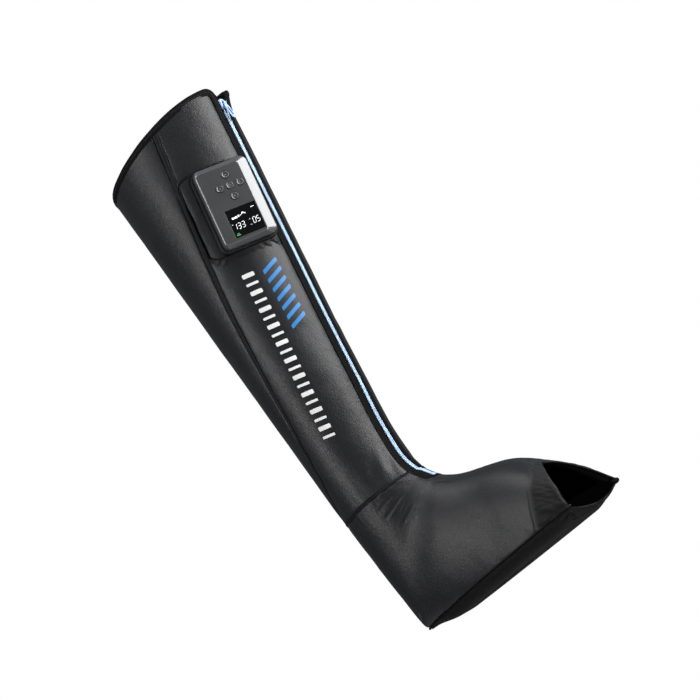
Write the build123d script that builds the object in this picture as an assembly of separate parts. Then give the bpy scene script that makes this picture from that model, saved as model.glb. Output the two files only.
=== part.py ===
from build123d import *
import math
import os

os.makedirs("parts", exist_ok=True)

# ---------------------------------------------------------------------------
# Air compression boot with docked control unit.  Millimetres, +Z up, toe +X,
# control unit on the -Y (outer) side.  The sole's flat underside is z = 0.
# ---------------------------------------------------------------------------
XO = 160.0            # distance from the heel tip to the frame origin
Z_SEAM = 16.0         # height of the seam between the upper and the sole
T_PANEL = 1.6         # outer fabric
D_CH0, D_CH1 = 2.2, 8.2      # air chambers, depth below the outer surface
D_LI0, D_LI1 = 8.6, 9.8      # inner lining, depth below the outer surface
S_COIL = 2.6          # half width of the zipper coil
S_B0, S_B1 = 4.6, 14.0       # front binding, distance from the front ridge
S_TAPE = 12.0         # outer edge of the zipper tape
S_PLACKET = 17.0      # half width of the placket behind the zipper
S_LINE = 18.0         # lining and chambers start here
V_ZIP = 7.6           # station at which the zipper ends on the instep
V_ANKLE, V_TAPE = 13.0, 13.2
V_TOP = 21.0

# wall stations, toe opening -> heel -> ankle -> top:
# back/sole point x,z; front ridge x,z; half width; half width at the sole seam;
# dome factor; toe skew; nose exponent
ST = [
    (305.0, 16.0, 274.0, 84.0, 52.0, 55.0, 1.0, 8.0, 1.0),
    (281.0, 16.0, 256.0, 101.0, 51.0, 57.5, 1.0, 6.0, 1.0),
    (250.0, 16.0, 237.0, 112.5, 50.0, 58.0, 1.0, 4.0, 1.0),
    (215.0, 16.0, 216.0, 121.5, 50.0, 56.5, 1.0, 2.5, 1.0),
    (178.0, 16.0, 196.0, 128.5, 50.0, 53.5, 0.95, 1.0, 1.0),
    (140.0, 16.0, 178.0, 135.0, 49.0, 48.5, 0.8, 0.0, 1.0),
    (100.0, 16.0, 163.0, 142.0, 47.0, 41.5, 0.6, 0.0, 1.0),
    (60.0, 16.0, 150.5, 151.0, 45.0, 31.0, 0.4, 0.0, 1.02),
    (25.0, 16.0, 140.5, 162.5, 44.0, 16.0, 0.2, 0.0, 1.05),
    (0.0, 16.0, 133.0, 174.0, 45.0, 0.0, 0.0, 0.0, 1.1),
    (-0.9, 60.0, 132.2, 175.3, 48.6, 0.0, 0.0, 0.0, 1.2),
    (-2.3, 102.0, 131.6, 176.5, 51.1, 0.0, 0.0, 0.0, 1.23),
    (-3.0, 141.0, 130.9, 177.8, 53.6, 0.0, 0.0, 0.0, 1.28),
    (-2.8, 177.0, 130.2, 179.0, 55.7, 0.0, 0.0, 0.0, 1.3),
    (-2.5, 198.0, 124.0, 200.0, 57.0, 0.0, 0.0, 0.0, 1.2),
    (-1.4, 244.0, 125.0, 245.5, 60.0, 0.0, 0.0, 0.0, 1.24),
    (0.0, 320.0, 137.5, 322.0, 65.0, 0.0, 0.0, 0.0, 1.25),
    (1.0, 400.0, 152.3, 403.0, 70.0, 0.0, 0.0, 0.0, 1.25),
    (1.5, 480.0, 169.4, 484.0, 75.0, 0.0, 0.0, 0.0, 1.25),
    (2.0, 560.0, 186.6, 566.0, 79.0, 0.0, 0.0, 0.0, 1.25),
    (2.5, 640.0, 204.1, 649.0, 82.0, 0.0, 0.0, 0.0, 1.25),
    (1.0, 722.0, 222.5, 736.0, 84.0, 0.0, 0.0, 0.0, 1.25),
    (0.6, 745.0, 227.6, 760.0, 84.6, 0.0, 0.0, 0.0, 1.25),
]

# side seam between the side panel and the calf panel: station -> angle (deg)
SEAM = [(13.0, 150.0), (14.0, 134.5), (15.0, 118.0), (16.0, 106.0), (17.0, 97.0),
        (18.0, 89.5), (19.0, 80.0), (20.0, 72.5), (21.0, 66.0), (22.0, 64.0)]
BAND_LOW, BAND_TOP = 3.0, 7.5     # width of the side seam band

# control unit: centre of its seat, tilt angles, size
UC = (183.6, -59.0, 582.3)        # centre of the unit's front face
U_AZ, U_LEAN, U_TILT = 49.6, 9.3, 8.9
UW, UH = 74.0, 110.0
U_FRONT, U_BACK = 20.0, -5.0      # front and back of the unit over its seat
U_SPLIT = 7.0                     # joint between back shell and bezel
U_R = 9.0                         # corner radius
BTN_D, BTN_PITCH_X, BTN_PITCH_Y = 10.0, 14.1, 15.2
BTN_C = (1.1, 21.7)               # centre of the button cross on the face
DISP_X0, DISP_Y0, DISP_Y1 = -19.9, -46.5, -8.2   # display window on the face


def row(v):
    i = min(int(math.floor(v)), len(ST) - 2)
    i = max(i, 0)
    f = v - i
    return [a + (b - a) * f for a, b in zip(ST[i], ST[i + 1])]


def raw(st, t):
    Bx, Bz, Fx, Fz, w, ye, g, sk, k = st
    L = math.hypot(Bx - Fx, Bz - Fz)
    p = (1 - g) * (1 - math.cos(t)) / 2 + g * (1 - math.cos(t / 2))
    s = max(math.sin(t), 0.0)
    if t < math.pi / 2:
        s = s ** k
    return p * L, (1 - g) * w * s + ye * math.sin(t / 2)


def P(v, t, side, d=0.0):
    st = row(v)
    Bx, Bz, Fx, Fz, w, ye, g, sk, k = st
    L = math.hypot(Bx - Fx, Bz - Fz)
    p, y = raw(st, t)
    if d:
        e = 2e-3
        a, b = raw(st, max(0.0, t - e)), raw(st, min(math.pi, t + e))
        dp, dy = b[0] - a[0], b[1] - a[1]
        if t < 1e-6:
            dp, dy = 0.0, 1.0
        if t > math.pi - 1e-6 and g < 1e-6:
            dp, dy = 0.0, -1.0
        n = math.hypot(dp, dy)
        p += dy / n * d
        y -= dp / n * d
    p /= L
    bx = Bx + side * sk
    return (Fx + (bx - Fx) * p - XO, side * y, Fz + (Bz - Fz) * p)


def t_of_s(v, s):
    """angle at a distance s round the wall from the front ridge"""
    if s <= 0:
        return 0.0
    st = row(v)
    t, acc, q, h = 0.0, 0.0, raw(st, 0.0), 0.004
    while t < 2.5:
        r = raw(st, t + h)
        step = math.hypot(r[0] - q[0], r[1] - q[1])
        if acc + step >= s:
            return t + h * (s - acc) / step
        acc += step
        t += h
        q = r
    return t


def interp(tab, v):
    for (a, x), (b, y) in zip(tab, tab[1:]):
        if v <= b:
            return x + (y - x) * (v - a) / (b - a)
    return tab[-1][1]


def seam_t(v):
    return math.radians(interp(SEAM, v))


def half_band(v):
    width = BAND_LOW + (BAND_TOP - BAND_LOW) * (v - V_TAPE) / (V_TOP - V_TAPE)
    st = row(v)
    t = seam_t(v)
    a, b = raw(st, t - 0.01), raw(st, t + 0.01)
    return width / 2 * 0.02 / math.hypot(b[0] - a[0], b[1] - a[1])


def stations(v0, v1):
    vs = [v0] + [float(i) for i in range(int(math.floor(v0)) + 1, int(math.ceil(v1)))] + [v1]
    return [v for i, v in enumerate(vs) if i == 0 or v - vs[i - 1] > 1e-6]


def closed(outer, inner):
    e = [Edge.make_spline([Vector(*q) for q in outer]),
         Edge.make_line(Vector(*outer[-1]), Vector(*inner[-1])),
         Edge.make_spline([Vector(*q) for q in reversed(inner)]),
         Edge.make_line(Vector(*inner[0]), Vector(*outer[0]))]
    return Wire(e)


def band(v0, v1, ta, tb, d0, d1, side, n=9, vs=None):
    """wall layer between depths d0 and d1 on one side; ta, tb are functions of the station"""
    ws = []
    for v in vs or stations(v0, v1):
        a, b = ta(v), tb(v)
        ts = [a + (b - a) * i / (n - 1) for i in range(n)]
        ws.append(closed([P(v, t, side, d0) for t in ts], [P(v, t, side, d1) for t in ts]))
    return Solid.make_loft(ws, True)


def wrap(v0, v1, ta, d0, d1, n=13, vs=None):
    """wall layer running from one side round the back to the other side"""
    ws = []
    for v in vs or stations(v0, v1):
        a = ta(v)
        ts = [a + (math.pi - a) * i / (n - 1) for i in range(n)]
        o = [P(v, t, -1, d0) for t in ts] + [P(v, t, 1, d0) for t in reversed(ts[:-1])]
        i_ = [P(v, t, -1, d1) for t in ts] + [P(v, t, 1, d1) for t in reversed(ts[:-1])]
        ws.append(closed(o, i_))
    return Solid.make_loft(ws, True)


def nose(v0, v1, s, d0, d1, n=5):
    """strip across the front ridge, reaching a distance s to either side"""
    ws = []
    for v in stations(v0, v1):
        b = t_of_s(v, s)
        ts = [b * i / (n - 1) for i in range(n)]
        o = [P(v, t, -1, d0) for t in reversed(ts)] + [P(v, t, 1, d0) for t in ts[1:]]
        i_ = [P(v, t, -1, d1) for t in reversed(ts)] + [P(v, t, 1, d1) for t in ts[1:]]
        ws.append(closed(o, i_))
    return Solid.make_loft(ws, True)


def const(x):
    return lambda v: x


def at_s(s):
    return lambda v: t_of_s(v, s)


def save(shape, name):
    export_step(shape, "parts/%s.step" % name)


def largest(shape):
    return max(shape.solids(), key=lambda q: q.volume)


# --- top rim: a gently dipped line with a rounded front corner --------------
RIM = [(-12.0, 715.0), (1.0, 717.0), (30.0, 717.2), (70.0, 719.0), (110.0, 722.5),
       (150.0, 727.5), (185.0, 733.0), (205.0, 735.5), (216.0, 735.0), (222.0, 730.5),
       (225.5, 722.0)]


def above_rim(dz, top=800.0):
    pts = [Vector(x - XO, 0, z + dz) for x, z in RIM]
    pts[-1] = Vector(RIM[-1][0] - XO + max(dz, 0) * 0.8, 0, RIM[-1][1] + dz)
    e = [Edge.make_spline(pts),
         Edge.make_line(pts[-1], Vector(90, 0, pts[-1].Z)),
         Edge.make_line(Vector(90, 0, pts[-1].Z), Vector(90, 0, top)),
         Edge.make_line(Vector(90, 0, top), Vector(pts[0].X, 0, top)),
         Edge.make_line(Vector(pts[0].X, 0, top), pts[0])]
    f = Face(Wire(e))
    return Solid.extrude(f.moved(Location((0, -120, 0))), Vector(0, 240, 0))


CUT_TOP = above_rim(0.0)

# --- control unit frame -----------------------------------------------------
b_, l_, t_ = (math.radians(a) for a in (U_AZ, U_LEAN, U_TILT))
N0 = Vector(math.sin(b_), -math.cos(b_), 0)
U0 = Vector(math.cos(b_), math.sin(b_), 0)
ZZ = Vector(0, 0, 1)
V1 = ZZ * math.cos(l_) + U0 * math.sin(l_)
UX = U0 * math.cos(l_) - ZZ * math.sin(l_)
UY = V1 * math.cos(t_) + N0 * math.sin(t_)
UN = N0 * math.cos(t_) - V1 * math.sin(t_)
UO = Vector(UC[0] - XO, UC[1], UC[2]) - UN * U_FRONT
UNIT = Location(Plane(origin=UO, x_dir=UX, z_dir=UN))


def rrect(w, h, r, z, cx=0.0, cy=0.0):
    """rounded rectangle face in the unit's frame at height z"""
    f = Face(Wire(_rr_edges(w, h, r)))
    return f.moved(Location((cx, cy, z)))


def _rr_edges(w, h, r):
    x, y = w / 2, h / 2
    c = r * (1 - math.sqrt(0.5))
    L = Edge.make_line
    A = Edge.make_three_point_arc
    V = Vector
    return [L(V(-x + r, -y, 0), V(x - r, -y, 0)), A(V(x - r, -y, 0), V(x - c, -y + c, 0), V(x, -y + r, 0)),
            L(V(x, -y + r, 0), V(x, y - r, 0)), A(V(x, y - r, 0), V(x - c, y - c, 0), V(x - r, y, 0)),
            L(V(x - r, y, 0), V(-x + r, y, 0)), A(V(-x + r, y, 0), V(-x + c, y - c, 0), V(-x, y - r, 0)),
            L(V(-x, y - r, 0), V(-x, -y + r, 0)), A(V(-x, -y + r, 0), V(-x + c, -y + c, 0), V(-x + r, -y, 0))]


def rbox(w, h, r, z0, z1, cx=0.0, cy=0.0):
    return Solid.extrude(rrect(w, h, r, z0, cx, cy), Vector(0, 0, z1 - z0))


def sq(x0, x1, y0, y1, z0, z1):
    return Solid.make_box(x1 - x0, y1 - y0, z1 - z0).moved(Location((x0, y0, z0)))


def cyl(x, y, z0, z1, r):
    return Solid.make_cylinder(r, z1 - z0).moved(Location((x, y, z0)))


def ycyl(x, z, y0, y1, r):
    return Solid.make_cylinder(r, y1 - y0, Plane(origin=(x, y0, z), z_dir=(0, 1, 0)))


def place(shape):
    return shape.moved(UNIT)


# --- boot: outer panels -----------------------------------------------------
RECESS = place(rbox(UW + 5.4, UH + 5.4, U_R + 2.7, -8.4, 40.0))

leg_lat = band(V_TAPE, 22.0, at_s(S_B1), lambda v: seam_t(v) - half_band(v), 0, T_PANEL, -1)
leg_med = band(V_TAPE, 22.0, at_s(S_B1), lambda v: seam_t(v) - half_band(v), 0, T_PANEL, 1)
leg_lat = largest(leg_lat - CUT_TOP - RECESS)
leg_med = largest(leg_med - CUT_TOP)
save(leg_lat, "leg_lateral_panel")
save(leg_med, "leg_medial_panel")

calf = wrap(V_TAPE, 22.0, lambda v: seam_t(v) + half_band(v), 0, T_PANEL, n=7)
calf = largest(calf - CUT_TOP)
save(calf, "calf_back_panel")

seams = []
for side, nm in ((-1, "lateral"), (1, "medial")):
    s = band(V_TAPE, 22.0, lambda v: seam_t(v) - half_band(v), lambda v: seam_t(v) + half_band(v),
             -0.7, T_PANEL, side, n=3)
    s = largest(s - CUT_TOP)
    seams.append(s)
    save(s, "side_seam_band_%s" % nm)

tape = wrap(V_ANKLE, V_TAPE, at_s(S_B1), -0.7, T_PANEL)
save(tape, "ankle_seam_tape")

STEP = 0.012          # the zipper's slot begins over this part of a station


def foot_layer(v0, v1, side, edge, slot, back0, back1, d0, d1, drop=()):
    """one layer of the foot's side: up to the ridge in front of the zipper, back to the slot's edge behind it"""
    vs = [v for v in stations(v0, V_ZIP)] + [V_ZIP + STEP] + [v for v in stations(V_ZIP, v1)][1:]
    return band(0, 0, lambda v: edge if v <= V_ZIP else t_of_s(v, slot),
                lambda v: back0 if v <= V_ZIP else back1, d0, d1, side, vs=vs, n=11)


for side, nm in ((-1, "lateral"), (1, "medial")):
    save(foot_layer(0.3, V_ANKLE, side, 0.0, S_B1, math.pi, math.pi, 0, T_PANEL), "foot_%s_panel" % nm)

# --- sole -------------------------------------------------------------------
near = [(ST[i][0] - ST[i][7] - XO, -ST[i][5]) for i in range(0, 10)]
far = [(ST[i][0] + ST[i][7] - XO, ST[i][5]) for i in range(0, 9)]
outline = [near[9]] + list(reversed(near[:9])) + [(309.0 - XO, 0.0)] + far


def inset(pts, dist):
    """offset a closed anticlockwise outline inwards, corner by corner"""
    out = []
    m = len(pts)
    for i in range(m):
        a, b, c = pts[i - 1], pts[i], pts[(i + 1) % m]
        n1 = (-(b[1] - a[1]), b[0] - a[0])
        n2 = (-(c[1] - b[1]), c[0] - b[0])
        l1, l2 = math.hypot(*n1), math.hypot(*n2)
        n1, n2 = (n1[0] / l1, n1[1] / l1), (n2[0] / l2, n2[1] / l2)
        k = 1 + n1[0] * n2[0] + n1[1] * n2[1]
        out.append((b[0] + dist * (n1[0] + n2[0]) / k, b[1] + dist * (n1[1] + n2[1]) / k))
    return out


def poly(pts, z):
    return Wire.make_polygon([Vector(x, y, z) for x, y in pts], close=True)


def shrink(pts, k):
    """flat bottom of the sole: pulled in from the edge, more at the pointed heel"""
    q = inset(pts, k)
    return [(max(x, -112.0 - 0.35 * abs(y)), y) for x, y in q]


sole = Solid.make_loft([poly(outline, Z_SEAM - 1.6), poly(inset(outline, 2.2), 9.0), poly(inset(outline, 6.0), 3.0),
                        poly(inset(outline, 10.0), 0.0)], True)
save(sole, "sole_pad")
ring = Solid.extrude(Face(poly(inset(outline, -1.2), Z_SEAM - 1.6)), Vector(0, 0, 1.6))
ring_in = Solid.extrude(Face(poly(inset(outline, 5.0), Z_SEAM - 1.6)), Vector(0, 0, 1.6))
piping = ring - ring_in

in11 = [q for q in inset(outline, 11.5)]
bed = [(x, y) for x, y in in11 if x > -126.0]
bed = [(-122.0, -7.0)] + [q for q in bed if q[1] < -7.5 or q[0] > 100] + [(-122.0, 7.0)]
bed = [(-122.0, -7.0)] + [in11[i] for i in range(2, 9)] + [(289.0 - XO, -41.5), (293.0 - XO, 0.0), (301.0 - XO, 41.5)] + \
      [in11[i] for i in range(12, 19)] + [(-122.0, 7.0)]
save(Solid.extrude(Face(poly(bed, 16.4)), Vector(0, 0, 6.0)), "sole_air_chamber")
save(Solid.extrude(Face(poly(bed, 22.6)), Vector(0, 0, 1.2)), "footbed_lining")

# --- toe opening binding ----------------------------------------------------
for side in (-1, 1):
    a = band(0.0, 0.3, const(0.0), const(math.pi), -0.8, T_PANEL, side)
    b = band(-0.09, 0.0, const(0.0), const(math.pi), -0.8, D_LI1, side, vs=[-0.09, 0.0])
    tb = a.fuse(b)
    piping = piping - tb
    save(tb, "toe_binding_%s" % ("lateral" if side < 0 else "medial"))
save(largest(piping), "sole_piping")

# --- top binding ------------------------------------------------------------
ringtop = wrap(20.5, 22.0, at_s(S_B1 + 0.4), -1.3, D_LI1 + 0.6)
skirt = wrap(20.5, 22.0, at_s(S_B1 + 0.4), 0.0, D_LI1 + 0.9)
cap = (ringtop - above_rim(2.2)) - (skirt - CUT_TOP)
top_binding = largest(cap & above_rim(-10.0))
for q in [leg_lat, leg_med, calf] + seams:
    top_binding = largest(top_binding - q)
save(top_binding, "top_binding")

# --- front closure ----------------------------------------------------------
for side, nm in ((-1, "lateral"), (1, "medial")):
    q = band(V_ZIP, 22.0, at_s(S_B0), at_s(S_B1), -0.9, 0.7, side, n=5)
    save(largest(q - CUT_TOP), "front_binding_%s" % nm)
    q = band(V_ZIP, 22.0, at_s(0.35), at_s(S_TAPE), 0.7, 1.3, side, n=5)
    save(largest(q - CUT_TOP), "zipper_tape_%s" % nm)
    q = band(V_ZIP + 0.5, 20.93, const(0.0), at_s(S_COIL), -1.0, 0.7, side, n=4)
    save(q, "zipper_coil_%s" % nm)
save(nose(V_ZIP + 0.02, V_ZIP + 0.5, 3.8, -1.6, 0.7), "zipper_bottom_stop")
pl = nose(V_ZIP + 0.3, 22.0, S_PLACKET, 1.9, 4.4, n=6)
save(largest(pl - CUT_TOP), "zipper_placket")

# --- zipper slider and pull (the closed zipper runs straight above the knee) --
A0 = Vector(152.3 - XO, 0, 403.0)
A1 = Vector(222.5 - XO, 0, 736.0)
ZD = (A1 - A0).normalized()                    # up along the zipper
ZN = Vector(ZD.Z, 0, -ZD.X)                    # outwards from the ridge
SL_TOP = 0.925                                 # seat of the slider on that line
SO = A0 + (A1 - A0) * SL_TOP
SLD = Location(Plane(origin=SO, x_dir=Vector(0, 1, 0), z_dir=ZN))   # x = +Y, y = down/up the line


def zplace(shape):
    return shape.moved(SLD)


ys = 1.0 if SLD.position is not None and Plane(SLD).y_dir.Z > 0 else -1.0


def zbox(x0, x1, u0, u1, n0, n1):
    a, b = (u0, u1) if ys > 0 else (-u1, -u0)
    return sq(x0, x1, a, b, n0, n1)


body = zbox(-4.6, 4.6, -7.0, 7.0, 1.35, 2.75)
for sx in (-1, 1):
    x0, x1 = (3.15, 4.6) if sx > 0 else (-4.6, -3.15)
    body = body.fuse(zbox(x0, x1, -7.0, 7.0, 0.2, 1.35))
ear = []
for sx in (-1, 1):
    x0, x1 = (2.0, 3.4) if sx > 0 else (-3.4, -2.0)
    body = body.fuse(zbox(x0, x1, -1.0, 3.0, 2.75, 6.0))
pin = Solid.make_cylinder(0.8, 6.8, Plane(origin=(-3.4, 1.0 * ys, 4.6), z_dir=(1, 0, 0)))
body = body.fuse(pin)
save(zplace(body), "zipper_slider")
pull = zbox(-1.7, 1.7, -25.0, 1.0, 3.8, 5.4).fuse(zbox(-3.7, 3.7, -25.0, -2.6, 3.8, 5.4))
pull = pull - zbox(-1.9, 1.9, -21.5, -8.0, 2.0, 6.0)
pull = pull.fuse(Solid.make_cylinder(1.65, 3.4, Plane(origin=(-1.7, 1.0 * ys, 4.6), z_dir=(1, 0, 0))))
pull = pull - Solid.make_cylinder(0.87, 8.0, Plane(origin=(-4.0, 1.0 * ys, 4.6), z_dir=(1, 0, 0)))
hinge = SO + ZN * 4.6 + ZD * 1.0
pull = zplace(pull).rotate(Axis(hinge, Vector(0, 1, 0)), -math.degrees(math.atan2(ZD.X, ZD.Z)))
save(pull, "zipper_pull")                      # stored hanging straight down

# --- lining -----------------------------------------------------------------
lin = wrap(13.0, 22.0, at_s(S_LINE), D_LI0, D_LI1)
save(largest(lin - CUT_TOP), "leg_lining")
for side, nm in ((-1, "lateral"), (1, "medial")):
    save(foot_layer(0.0, 12.97, side, 0.0, S_LINE, math.pi * 0.975, math.pi * 0.985, D_LI0, D_LI1),
         "foot_lining_%s" % nm)

# --- air chambers, hose channel and hoses -----------------------------------
HP = 5.0              # hose pitch
H_OD, H_ID = 3.6, 2.0
HOSE_D = 5.2          # depth of the hose centre line
SOCK_Y = -48.5        # row of sockets in the dock


def seat_uv(x, y):
    """station and angle of the wall point under (x, y) of the unit's frame"""
    v, t = 19.2, 0.7
    for _ in range(30):
        def err(vv, tt):
            q = Vector(*P(vv, tt, -1)) - UO
            return q.dot(UX) - x, q.dot(UY) - y
        e0 = err(v, t)
        ev, et = err(v + 1e-3, t), err(v, t + 1e-3)
        a11, a21 = (ev[0] - e0[0]) / 1e-3, (ev[1] - e0[1]) / 1e-3
        a12, a22 = (et[0] - e0[0]) / 1e-3, (et[1] - e0[1]) / 1e-3
        det = a11 * a22 - a12 * a21
        v -= (e0[0] * a22 - e0[1] * a12) / det
        t -= (a11 * e0[1] - a21 * e0[0]) / det
    return v, t


V_H, T_H = seat_uv(0.0, -74.0)


def hose_t(v, off):
    st = row(v)
    c = interp([(12.0, 1.15), (13.0, 1.05), (15.0, 0.96), (16.5, 0.86), (V_H, T_H), (22.0, T_H)], v)
    a, b = raw(st, c - 0.01), raw(st, c + 0.01)
    return c + off * 0.02 / math.hypot(b[0] - a[0], b[1] - a[1])


channel = band(12.2, V_H + 0.02, lambda v: hose_t(v, -1.5 * HP - 3.0), lambda v: hose_t(v, 1.5 * HP + 3.0),
               1.8, 8.45, -1, n=5)
CONN_BOX = place(sq(-11.6, 11.6, -75.0, -40.0, -8.45, -1.9))
thigh = wrap(17.7, 20.8, at_s(S_LINE), D_CH0, D_CH1)
save(largest(thigh - RECESS - CONN_BOX - channel), "thigh_air_chamber")
knee = wrap(16.0, 17.6, at_s(S_LINE), D_CH0, D_CH1)
save(largest(knee - channel), "knee_air_chamber")
calfc = wrap(13.3, 15.9, at_s(S_LINE), D_CH0, D_CH1)
save(largest(calfc - channel), "calf_air_chamber")
for side, nm in ((-1, "lateral"), (1, "medial")):
    q = foot_layer(0.5, 12.8, side, 0.06, S_LINE, math.pi * 0.965, math.pi * 0.975, D_CH0, D_CH1)
    if side < 0:
        q = largest(q - channel)
    save(q, "foot_air_chamber_%s" % nm)

for k, (nm, vend) in enumerate((("foot", 12.35), ("calf", 15.6), ("knee", 17.25), ("thigh", 17.95))):
    off = (k - 1.5) * HP
    o = UO + UX * off + UY * -61.6 + UN * -5.2
    o2 = UO + UX * off + UY * -66.0 + UN * -5.2
    vs = [V_H] + [x for x in (18.1, 17.8, 17.4, 17.0, 16.5, 16.0, 15.6, 15.3, 15.0, 14.5, 14.0, 13.0) if
                  V_H - 0.15 > x > vend + 0.15] + [vend]
    pts = [o, o2] + [Vector(*P(v, hose_t(v, -off), -1, HOSE_D)) for v in vs]
    path = Wire([Edge.make_spline(pts, tangents=[UY * -1.0, (pts[-1] - pts[-2]).normalized()])])
    m = max(6, int(path.length / 12))
    rings = [Plane(origin=path @ (i / m), z_dir=path % (i / m), x_dir=Vector(0, 1, 0).cross(path % (i / m)))
             for i in range(m + 1)]
    hose = Solid.make_loft([Wire([Edge.make_circle(H_OD / 2, q)]) for q in rings], True)
    hose = hose - Solid.make_loft([Wire([Edge.make_circle(H_ID / 2, q)]) for q in rings], True)
    save(hose, "%s_hose" % nm)

# --- dock -------------------------------------------------------------------
# the dock stays clear of the binding along the zipper
guard = band(16.5, 21.9, const(0.0), at_s(S_B1 + 0.35), -1.4, 9.0, -1, n=6)
GAP = 0.35
cw, chh, cr = UW + 2 * GAP, UH + 2 * GAP, U_R + GAP
tray = rbox(cw + 4.0, chh + 4.0, cr + 2.0, -7.4, 4.0) - rbox(cw, chh, cr, U_BACK - 0.3, 10.0)
SOCK = [((k - 1.5) * HP, SOCK_Y) for k in range(4)]
for x, y in SOCK:
    tray = tray - cyl(x, y, -9.0, 0.0, 2.15)
tray = tray - sq(-6.0, 6.0, 50.0, 70.0, 1.0, 20.0)          # notch for the charging plug
save(largest(place(tray) - guard), "dock_cradle")

conn = sq(-10.4, 10.4, -61.0, -46.0, -8.3, -7.4)
conn = conn.fuse(sq(-10.4, 10.4, -61.0, -57.7, -7.4, -2.6))
for x, y in SOCK:
    conn = conn.fuse(ycyl(x, -5.2, -64.4, -61.0, H_ID / 2 - 0.08))
    conn = conn.fuse(cyl(x, y, -7.4, -5.5, 2.1))
for x, y in SOCK:
    conn = conn - cyl(x, y, -6.9, -5.0, 1.5)
save(place(conn), "dock_connector")

# --- padded pocket frame ----------------------------------------------------
fr = rbox(cw + 4.2 + 22.0, chh + 4.2 + 24.0, cr + 9.0, -34.0, 5.0, -5.0, -1.0)
fr = fr - rbox(cw + 4.2, chh + 4.2, cr + 2.1, -40.0, 30.0)
fr = fr - sq(41.4, 60.0, -90.0, 90.0, -60.0, 30.0)
fr = place(fr)
core_ws = []
for v in stations(16.5, 22.0):
    ts = [math.pi * i / 16 for i in range(17)]
    pts = [P(v, t, -1, -0.06) for t in ts] + [P(v, t, 1, -0.06) for t in reversed(ts[1:-1])]
    core_ws.append(Wire([Edge.make_spline([Vector(*q) for q in pts], periodic=True)]))
core = Solid.make_loft(core_ws, True)
fr = fr - core
fr = fr - guard
fr = fr - band(16.5, 21.9, lambda v: seam_t(v) - half_band(v) - 0.005, lambda v: seam_t(v) + half_band(v) + 0.005,
               -0.85, 9.0, -1, n=3)                         # stays clear of the side seam band
save(largest(fr), "pocket_frame")

# --- control unit: case -----------------------------------------------------
W_ = 1.8
shell = rbox(UW, UH, U_R, U_BACK, U_SPLIT) - rbox(UW - 2 * W_, UH - 2 * W_, U_R - W_, U_BACK + W_, U_SPLIT + 1)
BOSS = [(sx * (UW / 2 - 6.4), sy * (UH / 2 - 6.4)) for sx in (-1, 1) for sy in (-1, 1)]
for x, y in BOSS:
    shell = shell.fuse(cyl(x, y, U_BACK + W_, U_SPLIT - 0.6, 3.2))
for x, y in BOSS:
    shell = shell - cyl(x, y, U_BACK - 1, 8.0, 1.25) - cyl(x, y, U_BACK - 1, U_BACK + 1.6, 2.4)
for x, y in SOCK:
    shell = shell - cyl(x, y, U_BACK - 1, U_BACK + W_ + 1, 1.45)
USB = (0.0, 3.0)      # x, z of the charging port on the upper end
shell = shell - sq(USB[0] - 4.6, USB[0] + 4.6, 50.0, 60.0, USB[1] - 1.75, USB[1] + 1.75)
save(place(shell), "unit_back_shell")

# bezel: straight skirt, then a chamfer that is widest on the zipper side
CH = dict(l=1.0, r=13.7, t=6.4, b=5.5)     # chamfer widths, left, right, top, bottom
Z_CH, Z_PL = 14.0, 18.4                    # chamfer starts; underside of the face plate
fw, fh = UW - CH["l"] - CH["r"], UH - CH["t"] - CH["b"]
fx, fy = (CH["l"] - CH["r"]) / 2, (CH["b"] - CH["t"]) / 2


def lofted(w0, h0, r0, z0, x0, y0, w1, h1, r1, z1, x1, y1):
    a = Wire(_rr_edges(w0, h0, r0)).moved(Location((x0, y0, z0)))
    b = Wire(_rr_edges(w1, h1, r1)).moved(Location((x1, y1, z1)))
    return Solid.make_loft([a, b], True)


roof = rbox(UW, UH, U_R, U_SPLIT, Z_CH).fuse(
    lofted(UW, UH, U_R, Z_CH, 0, 0, fw, fh, 5.0, U_FRONT, fx, fy))
slab = sq(-60, 60, -80, 80, Z_PL, 40.0)
bez = roof - slab
hollow = rbox(UW - 2 * W_, UH - 2 * W_, U_R - W_, U_SPLIT - 1, Z_CH - 0.9).fuse(
    lofted(UW - 2 * W_, UH - 2 * W_, U_R - W_, Z_CH - 0.9, 0, 0, fw - 1.6, fh - 4.0, 4.0, Z_PL, fx - 0.1, fy))
bez = bez - hollow
save(place(bez), "unit_bezel")

BTN = {"up": (BTN_C[0], BTN_C[1] + BTN_PITCH_Y), "down": (BTN_C[0], BTN_C[1] - BTN_PITCH_Y),
       "left": (BTN_C[0] - BTN_PITCH_X, BTN_C[1]), "right": (BTN_C[0] + BTN_PITCH_X, BTN_C[1]),
       "centre": BTN_C}
plate = roof & slab
for x, y in BTN.values():
    plate = plate - cyl(x, y, 10.0, 30.0, BTN_D / 2 + 0.3)
dx0, dx1 = DISP_X0, fx + fw / 2 - 0.5
plate = plate - sq(dx0, dx1, DISP_Y0, DISP_Y1, 10.0, 30.0)
save(place(largest(plate)), "unit_face_plate")

win = sq(dx0 + 0.05, dx1 - 0.05, DISP_Y0 + 0.05, DISP_Y1 - 0.05, U_FRONT - 1.2, U_FRONT - 0.05)
save(place(win), "display_window")
mod = sq(dx0 + 1.5, dx1 - 1.2, DISP_Y0 + 1.5, DISP_Y1 - 1.5, 14.9, U_FRONT - 1.2)
save(place(mod), "display_module")

for nm, (x, y) in BTN.items():
    cap = cyl(x, y, 16.9, 21.0, BTN_D / 2)
    cap = cap.fuse(cyl(x, y, 16.3, 17.6, BTN_D / 2 + 1.0))
    top = [e for e in cap.edges() if abs(e.center().Z - 21.0) < 1e-6]
    cap = cap.fillet(0.8, top)
    save(place(cap), "button_%s" % nm)

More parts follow.
